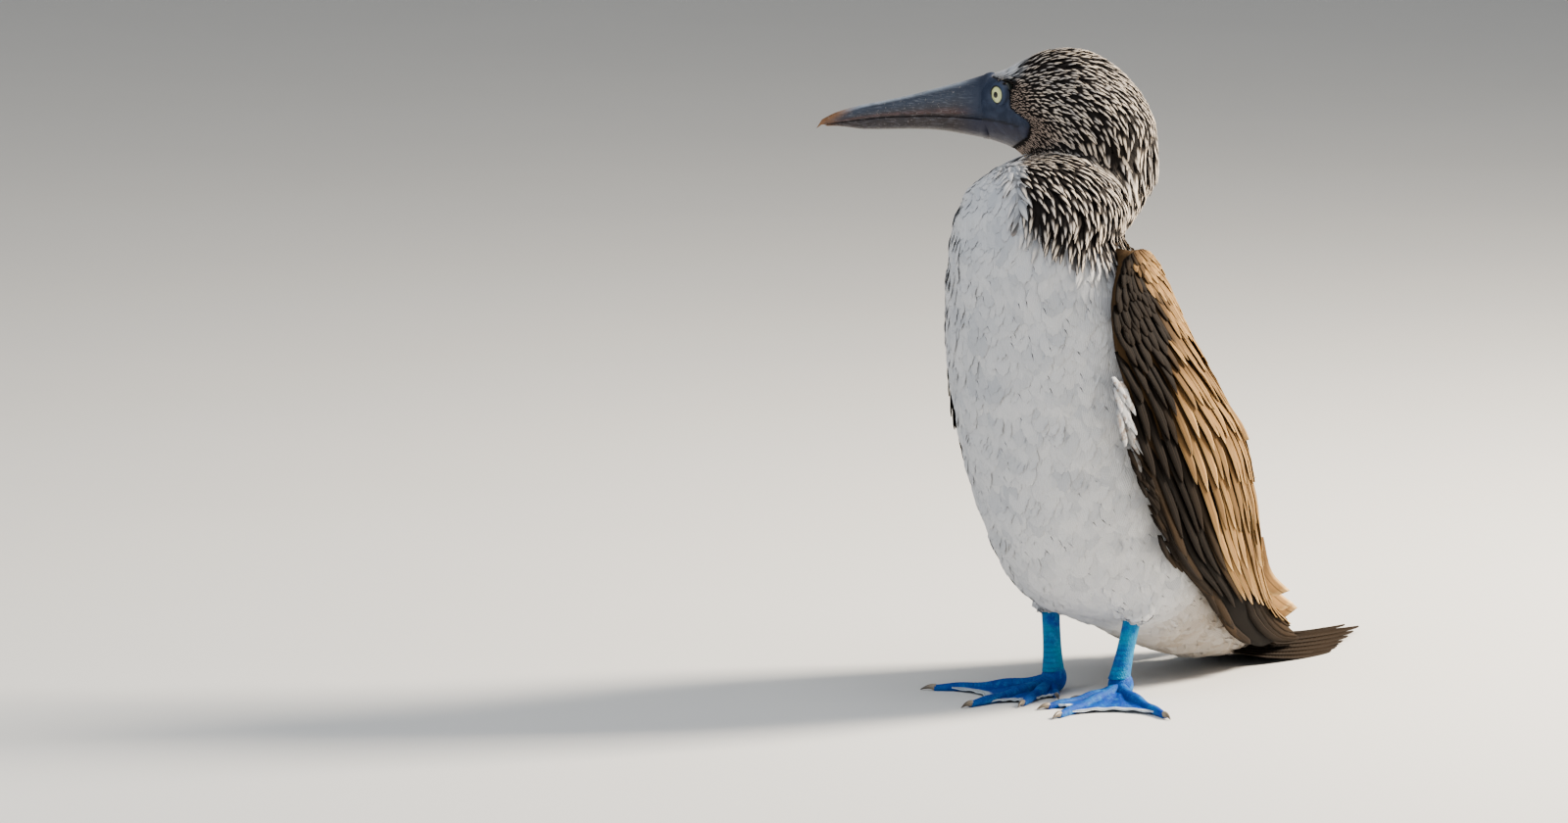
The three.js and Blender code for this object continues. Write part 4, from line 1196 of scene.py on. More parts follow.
class BoobyBreast(bpy.types.Operator):
    """White feathers of breast, belly, flanks, thighs and undertail"""

    bl_idname = "booby.breast"
    bl_label = "Breast and belly"

    def tones(self, roots, swell, wing_gap, rng):
        """How much blue-grey ripple shade and creamy painted shade each feather takes, and how brown it is:
        brown flecks lie by the neck and the wings.
        """
        count = len(roots)
        by_neck = smoothstep(neck_share(roots), -17, -3) * smoothstep(roots @ VIEW_RIGHT, -60, -44)
        by_wing = (1 - smoothstep(wing_gap, 4, 10)) * (roots[:, 2] < 190) * (roots[:, 2] > 110)
        under = smoothstep(roots[:, 1] - 0.25 * roots[:, 2], -8, 50)
        fleck = wobble(roots, 7, 5) + 0.5 * rng.normal(0, 0.6, count)
        return {
            # the tone paints blue-grey ripple shade
            "tone": np.clip(swell + rng.uniform(-0.5, 0.5, count), -1, 1.4),
            "brown": np.maximum(smoothstep((fleck + 0.3) * by_neck, 0.2, 0.8) * 0.7,
                                smoothstep(fleck + by_wing, 0.9, 1.2) * by_wing),
            # creamy buff darkened as painted shade under the tail
            "cream_in_shade": 0.85 * under * rng.uniform(0.6, 1, count),
        }

    def execute(self, context):
        sizes = coat_sizes()
        gap = sizes.breast_gap / MM
        material = breast_finish(colours())

        def upper(points, normals):
            return white_parts(points, normals) & (points[:, 2] > BREAST_SPLIT_Z)

        def lower(points, normals):
            return white_parts(points, normals) & (points[:, 2] <= BREAST_SPLIT_Z)

        def spacing(points):
            thigh = 1 - smoothstep(points[:, 2], 50, 75)
            near_neck = smoothstep(neck_share(points), -30, -2)
            return gap * (1 - 0.35 * np.maximum(thigh, near_neck))

        for k, (name, region) in enumerate((("breast_coat", upper), ("belly_coat", lower))):
            seed = sizes.seed + 10 + 4 * k
            roots, normals = scatter(seed, BREAST_TRIES, region, spacing)
            rng = np.random.default_rng(seed + 1)
            count = len(roots)
            swell = wobble(roots * SWELL_FLAT, 13, 7)
            length = sizes.breast_length / MM * rng.uniform(0.85, 1.2, count)
            thigh = (1 - smoothstep(roots[:, 2], 50, 70)) * smoothstep(-roots[:, 1], -45, -20)
            near_neck = smoothstep(neck_share(roots), -24, -2)
            length *= 1 - 0.4 * np.maximum(thigh, near_neck)
            width = length * rng.uniform(0.58, 0.76, count) * (1 - 0.3 * near_neck)
            wing_gap = wing_front_gap(roots)
            values = self.tones(roots, swell, wing_gap, rng)
            rise = 0.042 + 0.012 * swell + rng.uniform(-0.01, 0.02, count)
            rise *= 0.55 + 0.45 * smoothstep(wing_gap, 3, 14)
            coat(name, material, "breast_feathers", roots, normals, length, width, rise * length, SCALE,
                 seed + 2, values, columns=BROAD, ragged=0.45 * RAGGED, round_tip=0.24, cup=0.04,
                 stray=0.1)
        return {"FINISHED"}


class BoobyMantle(bpy.types.Operator):
    """Brown feathers of the back and rump"""

    bl_idname = "booby.mantle"
    bl_label = "Mantle"

    def execute(self, context):
        seed = coat_sizes().seed + 20
        roots, normals = scatter(seed, MANTLE_TRIES, on_back, lambda p: np.full(len(p), MANTLE_GAP))
        rng = np.random.default_rng(seed + 1)
        count = len(roots)
        length = rng.uniform(*MANTLE_LENGTH, count)
        values = {
            "tone": rng.uniform(-1, 1, count),
            # a random share of the wing's painted sunlight
            "gold": rng.uniform(0.2, 0.7, count),
            "white": np.zeros(count),
        }
        coat("mantle", vane_finish("mantle_feathers", colours(), 0.9), "wing_feathers", roots, normals,
             length, length * MANTLE_WIDTH, 0.08 * length, SCALE, seed + 2, values, columns=BROAD,
             ragged=0.3 * RAGGED, round_tip=0.25, cup=0.08)
        return {"FINISHED"}


def wing_place(along, across, side=1):
    """Places on the sheet of a wing, told as on the left; along and across run from 0 to 1."""
    t = np.asarray(across, float)[..., None]
    lead = along_table(WING_LEAD, along)
    if side < 0:
        lead[..., 0] -= RIGHT_TUCK * (1 - smoothstep(along, *TUCK_FADES))
    middle = along_table(WING_MIDDLE, along)
    trail = along_table(WING_TRAIL, along)
    return lead * (2 * t * t - 3 * t + 1) + middle * (4 * t - 4 * t * t) + trail * (2 * t * t - t)


def wing_frame(along, across, side=1):
    """Places on the wing's sheet, with the ways across it and out of it."""
    small = 0.008
    down = unit(wing_place(along + small, across, side) - wing_place(along - small, across, side))
    over = unit(wing_place(along, across + small, side) - wing_place(along, across - small, side))
    return wing_place(along, across, side), over, unit(np.cross(down, over))


def rounded(share, tip_from, power):
    """Half width of a vane by the share of its length: full, then round or pointed to the tip."""
    root = 0.6 + 0.4 * smoothstep(share, 0, 0.3)
    past = np.clip((share - tip_from) / (1 - tip_from), 0, 1)
    return root * np.maximum(1 - past**power, 0.0) ** (1 / 1.6)


VANE_ROWS = np.array([0, 0.13, 0.27, 0.41, 0.54, 0.66, 0.77, 0.86, 0.92, 0.965, 0.995])
VANE_COLUMNS = np.array([-1, -0.5, 0, 0.5, 1.0])


def wing_sunlit(along, across, rng):
    """How much painted sunlight a wing feather takes: painted shade, dark, in front and at the wrist, tan
    in painted sunlight behind.
    """
    place = wing_place(np.array([min(along, SUNLIT_BEND)]), np.array([across]))[0]
    behind = place @ VIEW_RIGHT - np.interp(place[2], SUNLIT_EDGE[:, 0], SUNLIT_EDGE[:, 1])
    # the trailing edge, turned from the light, takes less painted sunlight
    turned = 1 - 0.3 * smoothstep(across, 0.75, 1)
    return float(smoothstep(behind + rng.uniform(-4, 4), -5, 7) * turned * rng.uniform(0.8, 1))


class Vanes:
    """A growing list of wing feathers."""

    def __init__(self, seed):
        self.rng = np.random.default_rng(seed)
        self.rows = []

    def add(self, along, across, length, drift, width, lift, sink=1.6, tilt=0.5, tip=0.8,
            power=2.2, white=0.0, gold=None, fling=0.0):
        """A feather from a root on the wing's sheet, with its length, width and lift in mm."""
        jitter = self.rng.uniform
        end = along + length * jitter(0.93, 1.07) / WING_LENGTH
        reach = across + drift + jitter(-0.02, 0.02)
        # the share of painted sunlight, which by default follows the feather's place on the wing
        if gold is None:
            gold = wing_sunlit(along + 0.75 * (end - along), across + 0.75 * (reach - across), self.rng)
        self.rows.append([
            along, across, min(end, 0.998), reach, width * jitter(0.9, 1.1),
            lift * jitter(0.75, 1.25), gold, sink, tilt * jitter(0.8, 1.2), tip, power,
            jitter(-1, 1), white, fling,
        ])

    def row(self, count, along, length, width, lift, span=(0.02, 0.97), shift=0.0, **shape):
        """A row of like feathers across the wing; length is told at the front and at the back."""
        for k in range(count):
            share = (k + shift) / (count - 1 + shift)
            across = span[0] + (span[1] - span[0]) * share
            start = along + self.rng.uniform(-0.017, 0.017)
            long = length[0] + (length[1] - length[0]) * share
            self.add(max(start, 0.0), across, long, 0.012, width, lift, **shape)

    def mesh(self, name, side, material):
        """All feathers of one wing as one piece."""
        table = np.array(self.rows)
        columns = [table[:, k, None] for k in range(table.shape[1])]
        a0, t0, a1, t1, width, lift, gold, sink, tilt, tip, power, tone, white, fling = columns
        share = VANE_ROWS[None]
        along = a0 + (a1 - a0) * share
        across = t0 + (t1 - t0) * share
        place, over, out = wing_frame(along, across, side)
        half = width / 2 * rounded(share, tip, power)
        height = -sink + (lift + sink) * np.minimum(1, share * 1.3) + fling * share**3
        c = VANE_COLUMNS
        lean = height[..., None] - tilt[..., None] * c + 0.06 * width[..., None] * (1 - c * c)
        points = place[:, :, None] + over[:, :, None] * (half[..., None] * c)[..., None]
        points = points + out[:, :, None] * lean[..., None]
        points[..., 0] = np.maximum(points[..., 0], 0.4) * side
        points[..., 2] = np.maximum(points[..., 2], 0.5)
        shape = points.shape[:3]
        numbers = over_feathers({
            "along": VANE_ROWS[None, :, None],
            "across": c[None, None],
            "tone": tone[..., None],
            "gold": gold[..., None],
            "white": white[..., None],
        }, shape)
        root = np.stack([t0[:, 0], a0[:, 0]], -1) * 0.94 + 0.03
        unwrap = feather_patches(root, VANE_ROWS - 0.5, c)
        piece = make_piece(name, points, feather_faces(*shape, flip=side < 0), material, numbers, unwrap)
        thicken(piece, VANE_THICK)
        return piece


class BoobyWings(bpy.types.Operator):
    """Both wings, with coverts, scapulars, secondaries, tertials and primaries"""

    bl_idname = "booby.wings"
    bl_label = "Wings"

    def core(self, name, side, material):
        """The body of the wing, which fills the space between its feathers and the trunk."""
        rings = []
        t = np.linspace(0.02, 0.98, CORE_COLUMNS)
        down = np.linspace(0, CORE_END, CORE_ROWS)
        belly = np.sin(math.pi * np.clip(t, 0.04, 0.96))[:, None] ** 0.7
        for along in down:
            place, over, out = wing_frame(np.full_like(t, along), t, side)
            thin = smoothstep(along, 0.45, 0.72)
            deep = WING_DEPTH + (WING_TIP_DEPTH - WING_DEPTH) * thin
            trunk = np.zeros_like(place)
            (low, front), (high, back) = TRUNK_MIDDLE
            trunk[:, 1] = front + (back - front) * (place[:, 2] - low) / (high - low)
            trunk[:, 2] = place[:, 2]
            inwards = unit(unit(trunk - place) * (1 - thin) - out * thin)
            outer = place - CORE_UNDER * out
            inner = outer + inwards * (WING_EDGE_DEPTH + (deep - WING_EDGE_DEPTH) * belly)
            rings.append(np.vstack([outer, inner[::-1]]))
        points, faces = tube(rings)
        points[:, 0] = side * np.maximum(points[:, 0], 0.4)
        if side < 0:
            faces = [face[::-1] for face in faces]
        blank = np.zeros(len(points))
        # painted sunlight on the upper part of the wing's body
        upper = CORE_SUNLIT * (1 - smoothstep(down, 0.3, 0.5))
        gold = np.append(np.repeat(upper, 2 * CORE_COLUMNS), [CORE_SUNLIT, 0])
        values = {"along": blank + 0.5, "across": blank + 0.3, "tone": blank, "gold": gold, "white": blank}
        return make_piece(name, points, faces, material, values)

    def quills(self, vanes):
        """The long feathers: primaries, those along the leading edge, secondaries and tertials."""
        for k in range(PRIMARIES):
            share = k / (PRIMARIES - 1)
            across = 0.8 - 0.62 * share
            vanes.add(0.62, 0.5 + (across - 0.5) * 0.7, (0.19 + 0.18 * share) * WING_LENGTH,
                      (across - 0.5) * 0.1, 15, 0.3 - 0.5 * share, sink=2.4, tip=0.5, power=1.7,
                      gold=0.03 + 0.12 * (1 - share))
        for k in range(EDGE_QUILLS):
            end = 0.79 - 0.026 * k
            vanes.add(end - 0.2, 0.015 + 0.004 * (k % 2), 80, 0.0, 9.5, 0.9, sink=2.0, tip=0.84,
                      power=2.4, gold=0.03 + 0.06 * (k % 2))
        vanes.row(17, 0.45, (78, 126), 9.5, 0.8, span=(0.06, 0.78), sink=2.4, tip=0.66, power=1.9)
        vanes.row(12, 0.42, (112, 152), 10, 1.0, span=(0.45, 0.96), sink=2.2, tip=0.56, power=1.7)

    def coverts(self, vanes):
        """Rows of coverts, and the small ones that end at the wrist."""
        for count, along, length, width, lift, sink, tip, power, shift in COVERTS:
            vanes.row(count, along, length, width, lift, shift=shift, sink=sink, tip=tip, power=power)
        rows = coat_sizes().wing_rows
        for k in range(rows):
            share = k / (rows - 1)
            vanes.row(24 - k // 2, 0.115 * (1 - share), (26 - 10 * share, 36 - 18 * share), 7 - share,
                      1.1, shift=0.5 * (k % 2), sink=1.0, tilt=0.3, tip=0.66, power=2.2)

    def scapulars(self, vanes):
        """Feathers of the shoulder, two out of place, and the tips that stand off the rump."""
        for k in range(SCAPULARS):
            vanes.add(0.14 + 0.034 * k + vanes.rng.uniform(-0.01, 0.01), 0.4 + 0.06 * (k % 5),
                      52 + 4 * k, 0.0, 8.4, 1.5, sink=2.2, tip=0.55, power=1.6, tilt=0.9)
        # these two and the tertial tips stand off the rump in painted sunlight
        vanes.add(0.25, 0.545, 50, -0.03, 8, 1.6, tip=0.6, tilt=-1.5, gold=0.75, fling=2.0)
        vanes.add(0.36, 0.6, 30, -0.02, 6, 1.2, tip=0.6, tilt=-1.2, gold=0.8, fling=0.8, white=0.6)
        for k in range(TERTIAL_TIPS):
            vanes.add(0.55 + 0.035 * k, 0.55 + 0.05 * k, 66 + 6 * k, 0.05, 12, 1.4, tip=0.7,
                      tilt=-4.5, gold=1.0, fling=8.0 - 2 * k)

    def front(self, vanes, side):
        """Small feathers on the leading edge, white high up on the left wing."""
        rng = vanes.rng
        for k in range(WING_FRONT_COUNT):
            share = k / (WING_FRONT_COUNT - 1)
            along = 0.235 + 0.3 * share
            white = rng.uniform(0.8, 1) * (1 - smoothstep(share + rng.uniform(-0.1, 0.1), 0.2, 0.44))
            vanes.add(along + rng.uniform(-0.006, 0.006), -0.02 + 0.01 * (k % 3), 17 - 3 * share,
                      0.006, 5, 0.6, sink=0.8, tilt=0.0, tip=0.4, power=1.6,
                      white=white if side > 0 else 0.0, gold=rng.uniform(0.0, 0.3) ** 2)

    def feathers(self, seed, side):
        """Every feather of one wing."""
        vanes = Vanes(seed)
        self.quills(vanes)
        self.coverts(vanes)
        self.scapulars(vanes)
        self.front(vanes, side)
        return vanes

    def execute(self, context):
        sizes = coat_sizes()
        material = vane_finish("wing_feathers", colours(), 1.0)
        for name, side in SIDES:
            body = self.core("wing_core_" + name, side, material)
            settle(body, "wing_feathers", "wing_" + name)
            piece = self.feathers(sizes.seed + 30, side).mesh("wing_vanes_" + name, side, material)
            settle(piece, "wing_feathers", "wing_" + name)
        return {"FINISHED"}


class BoobyTail(bpy.types.Operator):
    """Tail feathers, laid along the floor"""

    bl_idname = "booby.tail"
    bl_label = "Tail"

    def vane(self, side, rank):
        """One tail feather as a grid of places; the middle pair has the rank 0."""
        length = TAIL_LONGEST - TAIL_STEP * rank
        share = VANE_ROWS[:, None]
        y = TAIL_ROOT_Y - TAIL_TUCK + (length + TAIL_TUCK) * share
        x = side * (2 + 2.1 * rank) + side * (3 + 3.1 * rank) * share * 1.1
        ridge = TAIL_RIDGE[0] + TAIL_RIDGE[1] * (1 - share) ** 1.6
        ridge = ridge + (TAIL_PAIRS - rank) * TAIL_PILE * (1 - share * 0.6)
        roof = 0.5 * (1 - 0.75 * share)
        z = np.maximum(0.9, ridge - np.abs(x) * roof * 0.55)
        half = TAIL_WIDTH / 2 * rounded(share, 0.35, 1.6)
        c = VANE_COLUMNS[None]
        lean = z - side * roof * half * 0.5 * c + 0.6 * (1 - c * c)
        lean = np.maximum(lean, 0.35)
        return np.stack(np.broadcast_arrays(x + half * c, y, lean), -1)

    def rump_vane(self, place):
        """One covert over the roots of the tail; the one in the middle has the place 0."""
        share = VANE_ROWS[:, None]
        c = VANE_COLUMNS[None]
        x = place * RUMP_STEP
        y = RUMP_LONG[0] + RUMP_LONG[1] * share + 0 * c - abs(place) * 3
        half = RUMP_HALF_WIDTH * rounded(share, 0.6, 2)
        z = RUMP_HIGH[0] - RUMP_HIGH[1] * share - abs(place) * 2.4 + 0.5 * (1 - c * c)
        return np.stack(np.broadcast_arrays(x * (0.6 + 0.5 * share) + half * c, y, z), -1)

    def execute(self, context):
        rng = np.random.default_rng(coat_sizes().seed + 40)
        grids, tones = [], []
        for rank in range(TAIL_PAIRS - 1, -1, -1):
            for side in (-1, 1):
                grids.append(self.vane(side, rank))
                tones.append(rng.uniform(-1, 1))
        for k in range(RUMP_VANES):
            grids.append(self.rump_vane(k - RUMP_VANES // 2))
            tones.append(rng.uniform(-1, 1))
        points = np.array(grids)
        shape = points.shape[:3]
        numbers = over_feathers({
            "along": VANE_ROWS[None, :, None],
            "across": VANE_COLUMNS[None, None],
            "tone": np.array(tones)[:, None, None],
            "gold": 0.05,
            "white": 0.0,
        }, shape)
        root = np.stack([(np.arange(shape[0]) + 1) / (shape[0] + 1), np.full(shape[0], 0.5)], -1)
        piece = make_piece("tail_vanes", points, feather_faces(*shape),
                           vane_finish("tail_feathers", colours(), 0.8), numbers,
                           feather_patches(root, VANE_ROWS - 0.5, VANE_COLUMNS))
        thicken(piece, TAIL_VANE_THICK)
        settle(piece, "tail_feathers", "tail")
        return {"FINISHED"}


class BoobyBill(bpy.types.Operator):
    """Both jaws of the bill"""

    bl_idname = "booby.bill"
    bl_label = "Bill"

    def stations(self, upper):
        """Share, culmen, mouth, underside and half width along a jaw, from its root in the face."""
        rows = along_table(BILL, np.linspace(0, 1, BILL_ROWS))
        root = BILL[:1] + (BILL[:1] - BILL[1:2]) * BILL_ROOT * np.linspace(1, 0.2, 5)[:, None]
        sunk = BILL_ROOT_SINK * np.array(BILL_ROOT_DIVE)
        root[:, 1] -= sunk
        root[:, 3] += sunk
        root[:, 4] -= sunk
        share, top, mouth, under, half = np.vstack([root, rows]).T
        reach = 1.0 if upper else LOWER_TIP_SHARE
        mouth = along_table(BILL, np.maximum(share, 0) * reach)[:, 2]
        if not upper:
            taper = smoothstep(share, *LOWER_TAPER)
            under = under + (mouth - under) * LOWER_SLIMS[0] * taper
            half = half * (1 - LOWER_SLIMS[1] * taper)
        return share, top, mouth, under, half

    def jaw(self, upper):
        """One jaw: an arch over a flat side that lies on the line of the mouth."""
        share, top, mouth, under, half = self.stations(upper)
        ahead = BILL_START + share * BILL_LENGTH * (1.0 if upper else LOWER_TIP_SHARE)
        edge = mouth + (JAW_GAP if upper else -JAW_GAP)
        rim = top if upper else under
        turn = np.linspace(0, math.pi, BILL_ARCH + 1)
        ring_side = np.cos(turn)[None] * half[:, None] * (1 if upper else 0.93)
        rise = (np.sin(turn) ** 0.85)[None]
        fade = 1 - smoothstep(share, 0.75, 0.97)[:, None]
        if upper:
            groove = np.exp(-(((rise - 0.62) / 0.07) ** 2)) * 0.5 * fade
            ring_side = ring_side * (1 - groove / np.maximum(half[:, None], 1))
            lip = np.exp(-((rise / 0.12) ** 2)) * 0.25 * fade
            ring_side = ring_side * (1 + lip / np.maximum(half[:, None], 1))
        height = edge[:, None] + (rim - edge)[:, None] * rise
        shell = on_head(ahead[:, None], ring_side, height)
        inside = np.linspace(-1, 1, 8)[None, 1:-1] * half[:, None] * 0.9
        flat = on_head(ahead[:, None], inside, edge[:, None])
        points, faces = tube(np.concatenate([shell, flat], 1))
        tip = BILL_START + BILL_LENGTH * (1 if upper else LOWER_TIP_SHARE * 0.985)
        points[-1] = on_head(tip, 0, BILL_TIP_Z if upper else mouth[-1] - 0.8)
        ahead_all, _, height_all = head_coordinates(points)
        along = (ahead_all - BILL_START) / BILL_LENGTH
        line = along_table(BILL, np.clip(along, 0, 1))
        up = (height_all - line[:, 2]) / np.where(upper, line[:, 1] - line[:, 2], line[:, 2] - line[:, 3])
        up = np.clip(up, 0, 1) if upper else np.clip(-up, 0, 1) * 0.35
        low = np.full(len(points), 0.0 if upper else 1.0)
        return points, faces, {"share": along, "up": up, "low": low}

    def execute(self, context):
        material = bill_finish(colours())
        for name, upper in (("bill_upper", True), ("bill_lower", False)):
            points, faces, values = self.jaw(upper)
            piece = make_piece(name + "_horn", points, faces, material, values)
            settle(piece, "bill_horn", name)
        return {"FINISHED"}


class BoobyEyes(bpy.types.Operator):
    """Eyes with their iris and pupil, and the bare rings that make their lids"""

    bl_idname = "booby.eyes"
    bl_label = "Eyes"

    def ball(self, name, centre, axis, round_axis, material):
        """An eyeball with its iris a little sunk and its places' distances from the pupil's middle."""
        turns = circle(EYE_SIDES)
        rings, ring, spokes = [], [], []
        for angle in np.linspace(0.02, math.pi - 0.02, 60):
            radius = EYE_RADIUS * math.sin(angle)
            high = EYE_RADIUS * math.cos(angle)
            if high > IRIS_HIGH:
                high = IRIS_HIGH + (high - IRIS_HIGH) * IRIS_BULGE
            rings.append(centre + axis * high + radius * round_axis)
            ring.append(np.full(EYE_SIDES, radius if angle < math.pi / 2 else BEHIND_IRIS))
            spokes.append(0.5 + 0.5 * np.sin(turns * 23 + 2 * np.sin(turns * 7)))
        points, faces = tube(rings)
        return make_piece(name, points, faces, material, {
            "ring": np.append(np.concatenate(ring), [0, BEHIND_IRIS]),
            "spokes": np.append(np.concatenate(spokes), [0, 0]),
        })

    def bare_ring(self, name, centre, axis, round_axis, material):
        """The bare ring that makes the lids."""
        rings = [centre + axis * high + round_axis * out for out, high in LID_PROFILE]
        points, faces = tube(rings, closed=False)
        ring = np.repeat([out for out, _ in LID_PROFILE], EYE_SIDES)
        return make_piece(name, points, faces, material, {"ring": ring})

    def execute(self, context):
        material = eye_finish(colours())
        lids = lid_finish(colours())
        up = np.array([0, 0, 1.0])
        turns = circle(EYE_SIDES)[:, None]
        for name, side in SIDES:
            axis = AHEAD * math.sin(EYE_TURN) + LEFTWARD * side * math.cos(EYE_TURN)
            centre = on_head(EYE_FORWARD, side * EYE_SIDE, EYE_Z) - axis * EYE_DEPTH
            round_axis = np.cos(turns) * unit(np.cross(up, axis)) + np.sin(turns) * up
            piece = self.ball("eyeball_" + name, centre, axis, round_axis, material)
            settle(piece, "eye_gloss", "eye_" + name)
            piece = self.bare_ring("eye_ring_" + name, centre, axis, round_axis, lids)
            settle(piece, "hackle_feathers")
        return {"FINISHED"}


def toward_toe(side, angle):
    """The way that a toe points, told as an angle outward from straight ahead."""
    turn = math.radians(angle)
    return np.array([side * math.sin(turn), -math.cos(turn), 0.0])


class BoobyLegs(bpy.types.Operator):
    """Shanks with their rings of scutes"""

    bl_idname = "booby.legs"
    bl_label = "Legs"

    def execute(self, context):
        material = foot_finish("shank_skin", colours(), colours().shank, 700)
        turns = circle(SHANK_SIDES)
        for name, side in SIDES:
            rings, groove = [], []
            for share in np.linspace(-0.04, 1, SHANK_RINGS):
                height = ANKLE_Z + (KNEE[2] + 2 - ANKLE_Z) * share
                wide = ANKLE_X + (KNEE[0] - ANKLE_X) * share
                back = SHANK_FOOT_Y + (KNEE[1] - SHANK_FOOT_Y) * share
                centre = np.array([side * wide, back, height])
                flare = 1 + 0.26 * (1 - share) ** 4 + 0.1 * max(share, 0) ** 3
                scute = abs(math.sin(math.pi * height / SHANK_SCUTE)) ** 0.35
                front = np.clip(-np.sin(turns) * 1.4, 0, 1) * (1 - smoothstep(share, 0.3, 0.75))
                size = flare - 0.03 * (1 - scute) * front
                rings.append(centre + np.stack([
                    SHANK_WIDE * size * np.cos(turns), SHANK_DEEP * size * np.sin(turns), 0 * turns], -1))
                groove.append((1 - scute) * front)
            points, faces = tube(rings)
            groove = np.append(np.concatenate(groove), [0, 0])
            piece = make_piece("shank_" + name, points, faces, material,
                               {"groove": groove, "margin": np.zeros(len(points))})
            settle(piece, "shank_skin", "leg_" + name)
        return {"FINISHED"}


class BoobyFeet(bpy.types.Operator):
    """Toes, webs and claws"""

    bl_idname = "booby.feet"
    bl_label = "Feet"

    def toe(self, side, angle, length, root, tip):
        """A toe with its joints and the grooves between its scutes."""
        way = toward_toe(side, angle)
        across = np.array([-way[1], way[0], 0])
        turns = circle(TOE_SIDES)
        rings, groove = [], []
        steps = int(length * 1.6)
        for share in np.linspace(0, 1, steps):
            joint = 1 + 0.09 * math.cos(share * math.pi * 5)
            thick = (root + (tip - root) * share) * joint * TOE_SLIM
            scute = abs(math.sin(math.pi * share * length / TOE_SCUTE)) ** 0.4
            top = np.clip(np.cos(turns) * 1.5, 0, 1)
            size = thick * (1 - 0.05 * (1 - scute) * top)
            high = thick * 0.8 + TOE_INSTEP * (1 - share) ** 2.4
            middle = np.array([side * ANKLE_X, 0, high]) + way * length * share
            ring = middle + np.outer(np.sin(turns) * size, across)
            ring[:, 2] += np.cos(turns) * size * 0.95
            ring[:, 2] = np.maximum(ring[:, 2], 0.0)
            rings.append(ring)
            groove.append((1 - scute) * top * 0.8)
        points, faces = tube(rings)
        points[:, 2] = np.maximum(points[:, 2], 0.0)
        return points, faces, np.append(np.concatenate(groove), [0, 0]), np.zeros(len(points))

    def web(self, side, one, two, sag):
        """The folded web between two toes, as a sheet with an upper and a lower side."""
        ankle = np.array([side * ANKLE_X, 0, 0.0])
        a = ankle + toward_toe(side, one[0]) * one[1] * 0.95
        b = ankle + toward_toe(side, two[0]) * two[1] * 0.95
        pull = (a + b) / 2 + (ankle - (a + b) / 2) * 2 * sag
        rows, columns = WEB_ROWS, WEB_COLUMNS
        t = np.linspace(0, 1, columns)[None, :, None]
        edge = a * (1 - t) ** 2 + pull * 2 * t * (1 - t) + b * t * t
        share = np.linspace(WEB_INNER, 1, rows)[:, None, None]
        place = ankle + (edge - ankle) * share
        s, t = share[..., 0], t[..., 0]
        hollow = np.sin(math.pi * t)
        span = WEB_HIGH[0] + WEB_HIGH[1] * (1 - s) ** 1.8 - 0.6 * hollow * (1 - s)
        folds = 0.5 * np.sin(t * math.pi * 7 + 2.2 * s) * s * (1 - s) * 2.2
        folds += 0.35 * np.sin(s * 17 + 5 * t) * hollow * s * (1 - s) * 2
        ripple = 0.7 * np.sin(t * math.pi * 5) ** 2 * smoothstep(s, 0.8, 1.0)
        high = np.maximum(span + folds + ripple, 0.9)
        low = np.maximum(high - WEB_THICK, 0.05)
        upper = place.copy()
        upper[..., 2] = high
        lower = place.copy()
        lower[..., 2] = low
        points = np.vstack([upper.reshape(-1, 3), lower.reshape(-1, 3)])
        faces = grid_faces(rows, columns)
        count = rows * columns
        faces += [tuple(k + count for k in face[::-1]) for face in grid_faces(rows, columns)]
        rim = [(i, 0) for i in range(rows - 1)]
        rim += [(rows - 1, j) for j in range(columns - 1)]
        rim += [(i, columns - 1) for i in range(rows - 1, 0, -1)]
        rim += [(0, j) for j in range(columns - 1, 0, -1)]
        loop = [i * columns + j for i, j in rim]
        for k, p in enumerate(loop):
            q = loop[(k + 1) % len(loop)]
            faces.append((p, p + count, q + count, q))
        white = smoothstep(s + 0 * t, 0.86, 0.93) * (0.5 + 0.5 * np.sin(math.pi * t) ** 0.5)
        # painted shade in the hollows of the folds
        fold_shade = np.clip(-folds, 0, 1) * 0.8
        return points, faces, np.tile(fold_shade.ravel(), 2), np.tile(white.ravel(), 2)

    def heel(self, side):
        """The round of the foot under the shank."""
        turns = circle(HEEL_SIDES)
        (back, high), (wide, long, tall) = HEEL_MIDDLE, HEEL_SIZE
        rings = []
        for angle in np.linspace(0.15, math.pi - 0.05, 26):
            ring = np.stack([
                side * ANKLE_X + wide * math.sin(angle) * np.cos(turns),
                back + long * math.sin(angle) * np.sin(turns),
                np.full(HEEL_SIDES, high + tall * math.cos(angle)),
            ], -1)
            ring[:, 2] = np.maximum(ring[:, 2], 0.0)
            rings.append(ring)
        points, faces = tube(rings)
        return points, faces, np.zeros(len(points)), np.zeros(len(points))

    def gather(self, name, parts, material):
        """Several parts, each with its grooves and margins, as one piece."""
        points, faces, groove, margin = [], [], [], []
        for p, f, g, m in parts:
            base = sum(len(k) for k in points)
            points.append(p)
            faces += [tuple(base + k for k in face) for face in f]
            groove.append(g)
            margin.append(m)
        values = {"groove": np.concatenate(groove), "margin": np.concatenate(margin)}
        return make_piece(name, np.vstack(points), faces, material, values)

